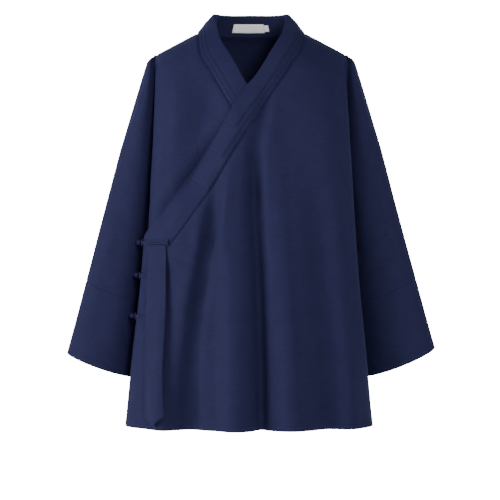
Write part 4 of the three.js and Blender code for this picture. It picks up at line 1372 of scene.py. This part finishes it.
# The interlaced ball: one cord that goes over and under itself round a small core
def ballKnot(centre, axis):
    turn = np.linspace(0, 2 * math.pi * frogs["knotLeads"], frogs["knotPoints"] + 1)[:-1]
    phase = turn * frogs["knotBights"] / frogs["knotLeads"]
    weave = frogs["knotWeave"]
    reach = frogs["ballRadius"] - frogs["knotCord"] - weave + weave * np.sin(2 * phase)
    latitude = frogs["knotReach"] * np.cos(phase)
    axis = unit(axis)
    side = unit(np.cross(axis, [0.3, 0.2, 1.0]))
    other = np.cross(axis, side)
    flatReach = reach * np.cos(latitude)
    line = (
        side * (flatReach * np.cos(turn))[:, None]
        + other * (flatReach * np.sin(turn))[:, None]
        + axis * (reach * np.sin(latitude))[:, None]
    )
    knot = tubeAlong(centre + line, frogs["knotCord"], frogs["knotSides"], closed=True)
    poles = axis * np.linspace(-1, 1, 12)[:, None] * frogs["coreHalfLength"]
    core = tubeAlong(centre + poles, frogs["coreRadius"], frogs["coreSides"], spiralDepth=0)
    return [knot, core]


def makeFrog(name, z, lift, endX):
    edgeLevel = levelAt(z, freeColumn)
    edgeNormal = normalAt("front", np.array(freeColumn), edgeLevel)
    edge = cutPoint("front", freeColumn, edgeLevel) + edgeNormal * cut["overlapLift"]
    onward = unit(np.cross([0, 0, 1.0], edgeNormal))
    columns = np.linspace(freeColumn, freeColumn + 0.4, 61)
    levels = levelAt(z, columns)
    draped, normals = drapedPoint("front", columns, levels)
    spots = draped + normals * cut["overlapLift"]
    gone = runningLength(spots, 0)

    def over(distance, rise, height):
        up = np.array([0, 0, rise])
        if distance <= 0:
            return edge + onward * distance + edgeNormal * height + up
        point = np.array([np.interp(distance, gone, spots[:, k]) for k in range(3)])
        normal = np.array([np.interp(distance, gone, normals[:, k]) for k in range(3)])
        return point + unit(normal) * height + up

    half = frogs["cordSpacing"] / 2
    barLength = np.interp(endX, spots[:, 0], gone)
    reach, radius = frogs["eyeReach"], frogs["eyeRadius"]
    bar = [over(d, half, lift) for d in np.linspace(barLength, 2, 6)]
    eye = []
    for turn in np.linspace(*frogs["eyeOpening"], 6):
        angle = math.pi * turn
        eye.append(over(-reach - radius * math.cos(math.pi - angle), radius * math.sin(angle), lift))
    backBar = [over(d, -half, lift) for d in np.linspace(2, barLength, 6)]
    curl = frogs["barEndTurn"]
    upper, lower = (over(barLength + 1, way * (half + curl), lift) for way in (1, -1))
    loop = smoothLine([upper, *bar, *eye, *backBar, lower], frogs["loopPoints"])
    cordPiece(f"frog_{name}_loop", [tubeAlong(loop, frogs["cordRadius"], frogs["loopSides"])])
    ball = over(-reach, 0, lift + frogs["ballLift"])
    neck = over(-reach, 0, lift - frogs["cordRadius"] - frogs["knotDip"])
    tail = [mix(ball, neck, 0.3), neck]
    for turn in frogs["tailTurns"]:
        column = np.array(-turn / cut["sideTurn"])
        level = levelAt(z, column)
        raised = normalAt("front", column, level) * (frogs["cordRadius"] + 1)
        tail.append(cutPoint("front", column, level) + raised)
    tail = tubeAlong(smoothLine(tail, frogs["tailPoints"]), frogs["cordRadius"], frogs["tailSides"])
    cordPiece(f"frog_{name}_knot", [*ballKnot(ball, edgeNormal), tail])


for row in frogs["rows"]:
    makeFrog(*row)
print("frogs tied")

# Blank woven label with a small tab beside it, inside the back of the collar
label = {
    "left": -37,
    "right": 27,
    "bottom": 0.24,
    "top": 0.62,
    "tabGap": 0.4,
    "tabWidth": 9,
    "tabBottom": 0.29,
    "tabTop": 0.57,
    "gap": 0.4,
    "wall": 0.9,
    "rounding": 0.4,
    "edgeReach": 0.9,
    "searchRows": (9, 13),
    "grid": (40, 16),
}


def labelPiece(name, left, right, bottom, top, **declared):
    along = np.linspace(*label["searchRows"], 200)
    x = bandPoint(along, 0 * along + (bottom + top) / 2)[:, 0]
    ends = np.interp([right, left], x[::-1], along[::-1])
    rows, columns = label["grid"]
    points = bandPoint(np.linspace(*ends, rows)[:, None], np.linspace(bottom, top, columns)[None])
    normals = -frontNormals(points, 20, 8)[0]
    length, width = runningLength(points, 0), runningLength(points, 1)
    edge = np.minimum(nearerEnd(length), nearerEnd(width, 1))
    rounding = label["rounding"] * (1 - smooth(edge, 0, label["edgeReach"]))
    high = band["low"] - label["gap"]
    outer = points + normals * (high - rounding)[..., None]
    inner = points + normals * (high - label["wall"] + rounding)[..., None]
    return stripPiece(name, "_tape", outer, inner, (length, width), True, "label", "label", **declared)


tabLeft = label["right"] + label["tabGap"]
tab = labelPiece("neck_size_tab", tabLeft, tabLeft + label["tabWidth"], label["tabBottom"], label["tabTop"])
labelPiece("neck_label", label["left"], label["right"], label["bottom"], label["top"], withPieces=[tab])
print("label sewn in")

# Studio: a white sweep, a large soft light from the left, fills from the front and the right, and the camera
studio = {
    "floorZ": -1.25,
    "wallY": 3.9,
    "width": 16.0,
    "height": 6.0,
    "bend": 1.2,
    "white": 0.9,
    "glow": 20.0,
    "cameraX": -0.002,
    "cameraY": -3.0,
    "cameraZ": -0.428,
    "lens": 108,
    "sensor": 36,
    "worldStrength": 0.1,
}
lights = [
    ("key", (-5.2, -2.5, 0.1), (0, 0, -0.42), 2.8, 450),
    ("front fill", (1.5, -4.2, 1.2), (0.05, 0, -0.42), 1.2, 162),
    ("right fill", (2.75, -0.5, 0.3), (0, 0, -0.42), 1.0, 16),
]


def makeStudio():
    profile = [(-6.0, studio["floorZ"])]
    for angle in np.linspace(0, math.pi / 2, 14):
        y = studio["wallY"] - studio["bend"] + studio["bend"] * math.sin(angle)
        profile.append((y, studio["floorZ"] + studio["bend"] * (1 - math.cos(angle))))
    profile.append((studio["wallY"], studio["height"]))
    half = studio["width"] / 2
    points = [(x, y, z) for y, z in profile for x in (-half, half)]
    cells = [(2 * n, 2 * n + 1, 2 * n + 3, 2 * n + 2) for n in range(len(profile) - 1)]
    mesh = bpy.data.meshes.new("studio_sweep")
    mesh.from_pydata(points, [], cells)
    mesh.polygons.foreach_set("use_smooth", np.ones(len(cells), bool))
    sweep = bpy.data.objects.new("studio_sweep", mesh)
    bpy.context.scene.collection.objects.link(sweep)
    material = bpy.data.materials.new("Studio white")
    material.use_nodes = True
    tree = material.node_tree
    shader = tree.nodes["Principled BSDF"]
    shader.inputs["Base Color"].default_value = (studio["white"],) * 3 + (1,)
    shader.inputs["Roughness"].default_value = 0.9
    shown = addNode(tree, "ShaderNodeEmission", Strength=studio["glow"])
    ray = addNode(tree, "ShaderNodeLightPath")
    choice = addNode(tree, "ShaderNodeMixShader")
    tree.links.new(ray.outputs["Is Camera Ray"], choice.inputs["Fac"])
    tree.links.new(shader.outputs[0], choice.inputs[1])
    tree.links.new(shown.outputs[0], choice.inputs[2])
    tree.links.new(choice.outputs[0], tree.nodes["Material Output"].inputs["Surface"])
    mesh.materials.append(material)


def aim(thing, target):
    direction = np.array(target) - np.array(thing.location)
    flatDistance = math.hypot(direction[0], direction[1])
    heading = math.atan2(-direction[0], direction[1])
    thing.rotation_euler = (math.atan2(flatDistance, -direction[2]), 0, heading)


def makeLights():
    for name, place, target, size, power in lights:
        data = bpy.data.lights.new(name, "AREA")
        data.shape = "SQUARE"
        data.size = size
        data.energy = power
        lamp = bpy.data.objects.new(name, data)
        bpy.context.scene.collection.objects.link(lamp)
        lamp.location = place
        aim(lamp, target)
    world = bpy.data.worlds.new("Studio")
    world.use_nodes = True
    world.node_tree.nodes["Background"].inputs["Color"].default_value = (1, 1, 1, 1)
    world.node_tree.nodes["Background"].inputs["Strength"].default_value = studio["worldStrength"]
    bpy.context.scene.world = world


def makeCamera():
    data = bpy.data.cameras.new("camera")
    data.lens = studio["lens"]
    data.sensor_width = studio["sensor"]
    camera = bpy.data.objects.new("camera", data)
    camera.location = (studio["cameraX"], studio["cameraY"], studio["cameraZ"])
    camera.rotation_euler = (math.pi / 2, 0, 0)
    bpy.context.scene.collection.objects.link(camera)
    bpy.context.scene.camera = camera


makeStudio()
makeLights()
makeCamera()
print("studio lit")

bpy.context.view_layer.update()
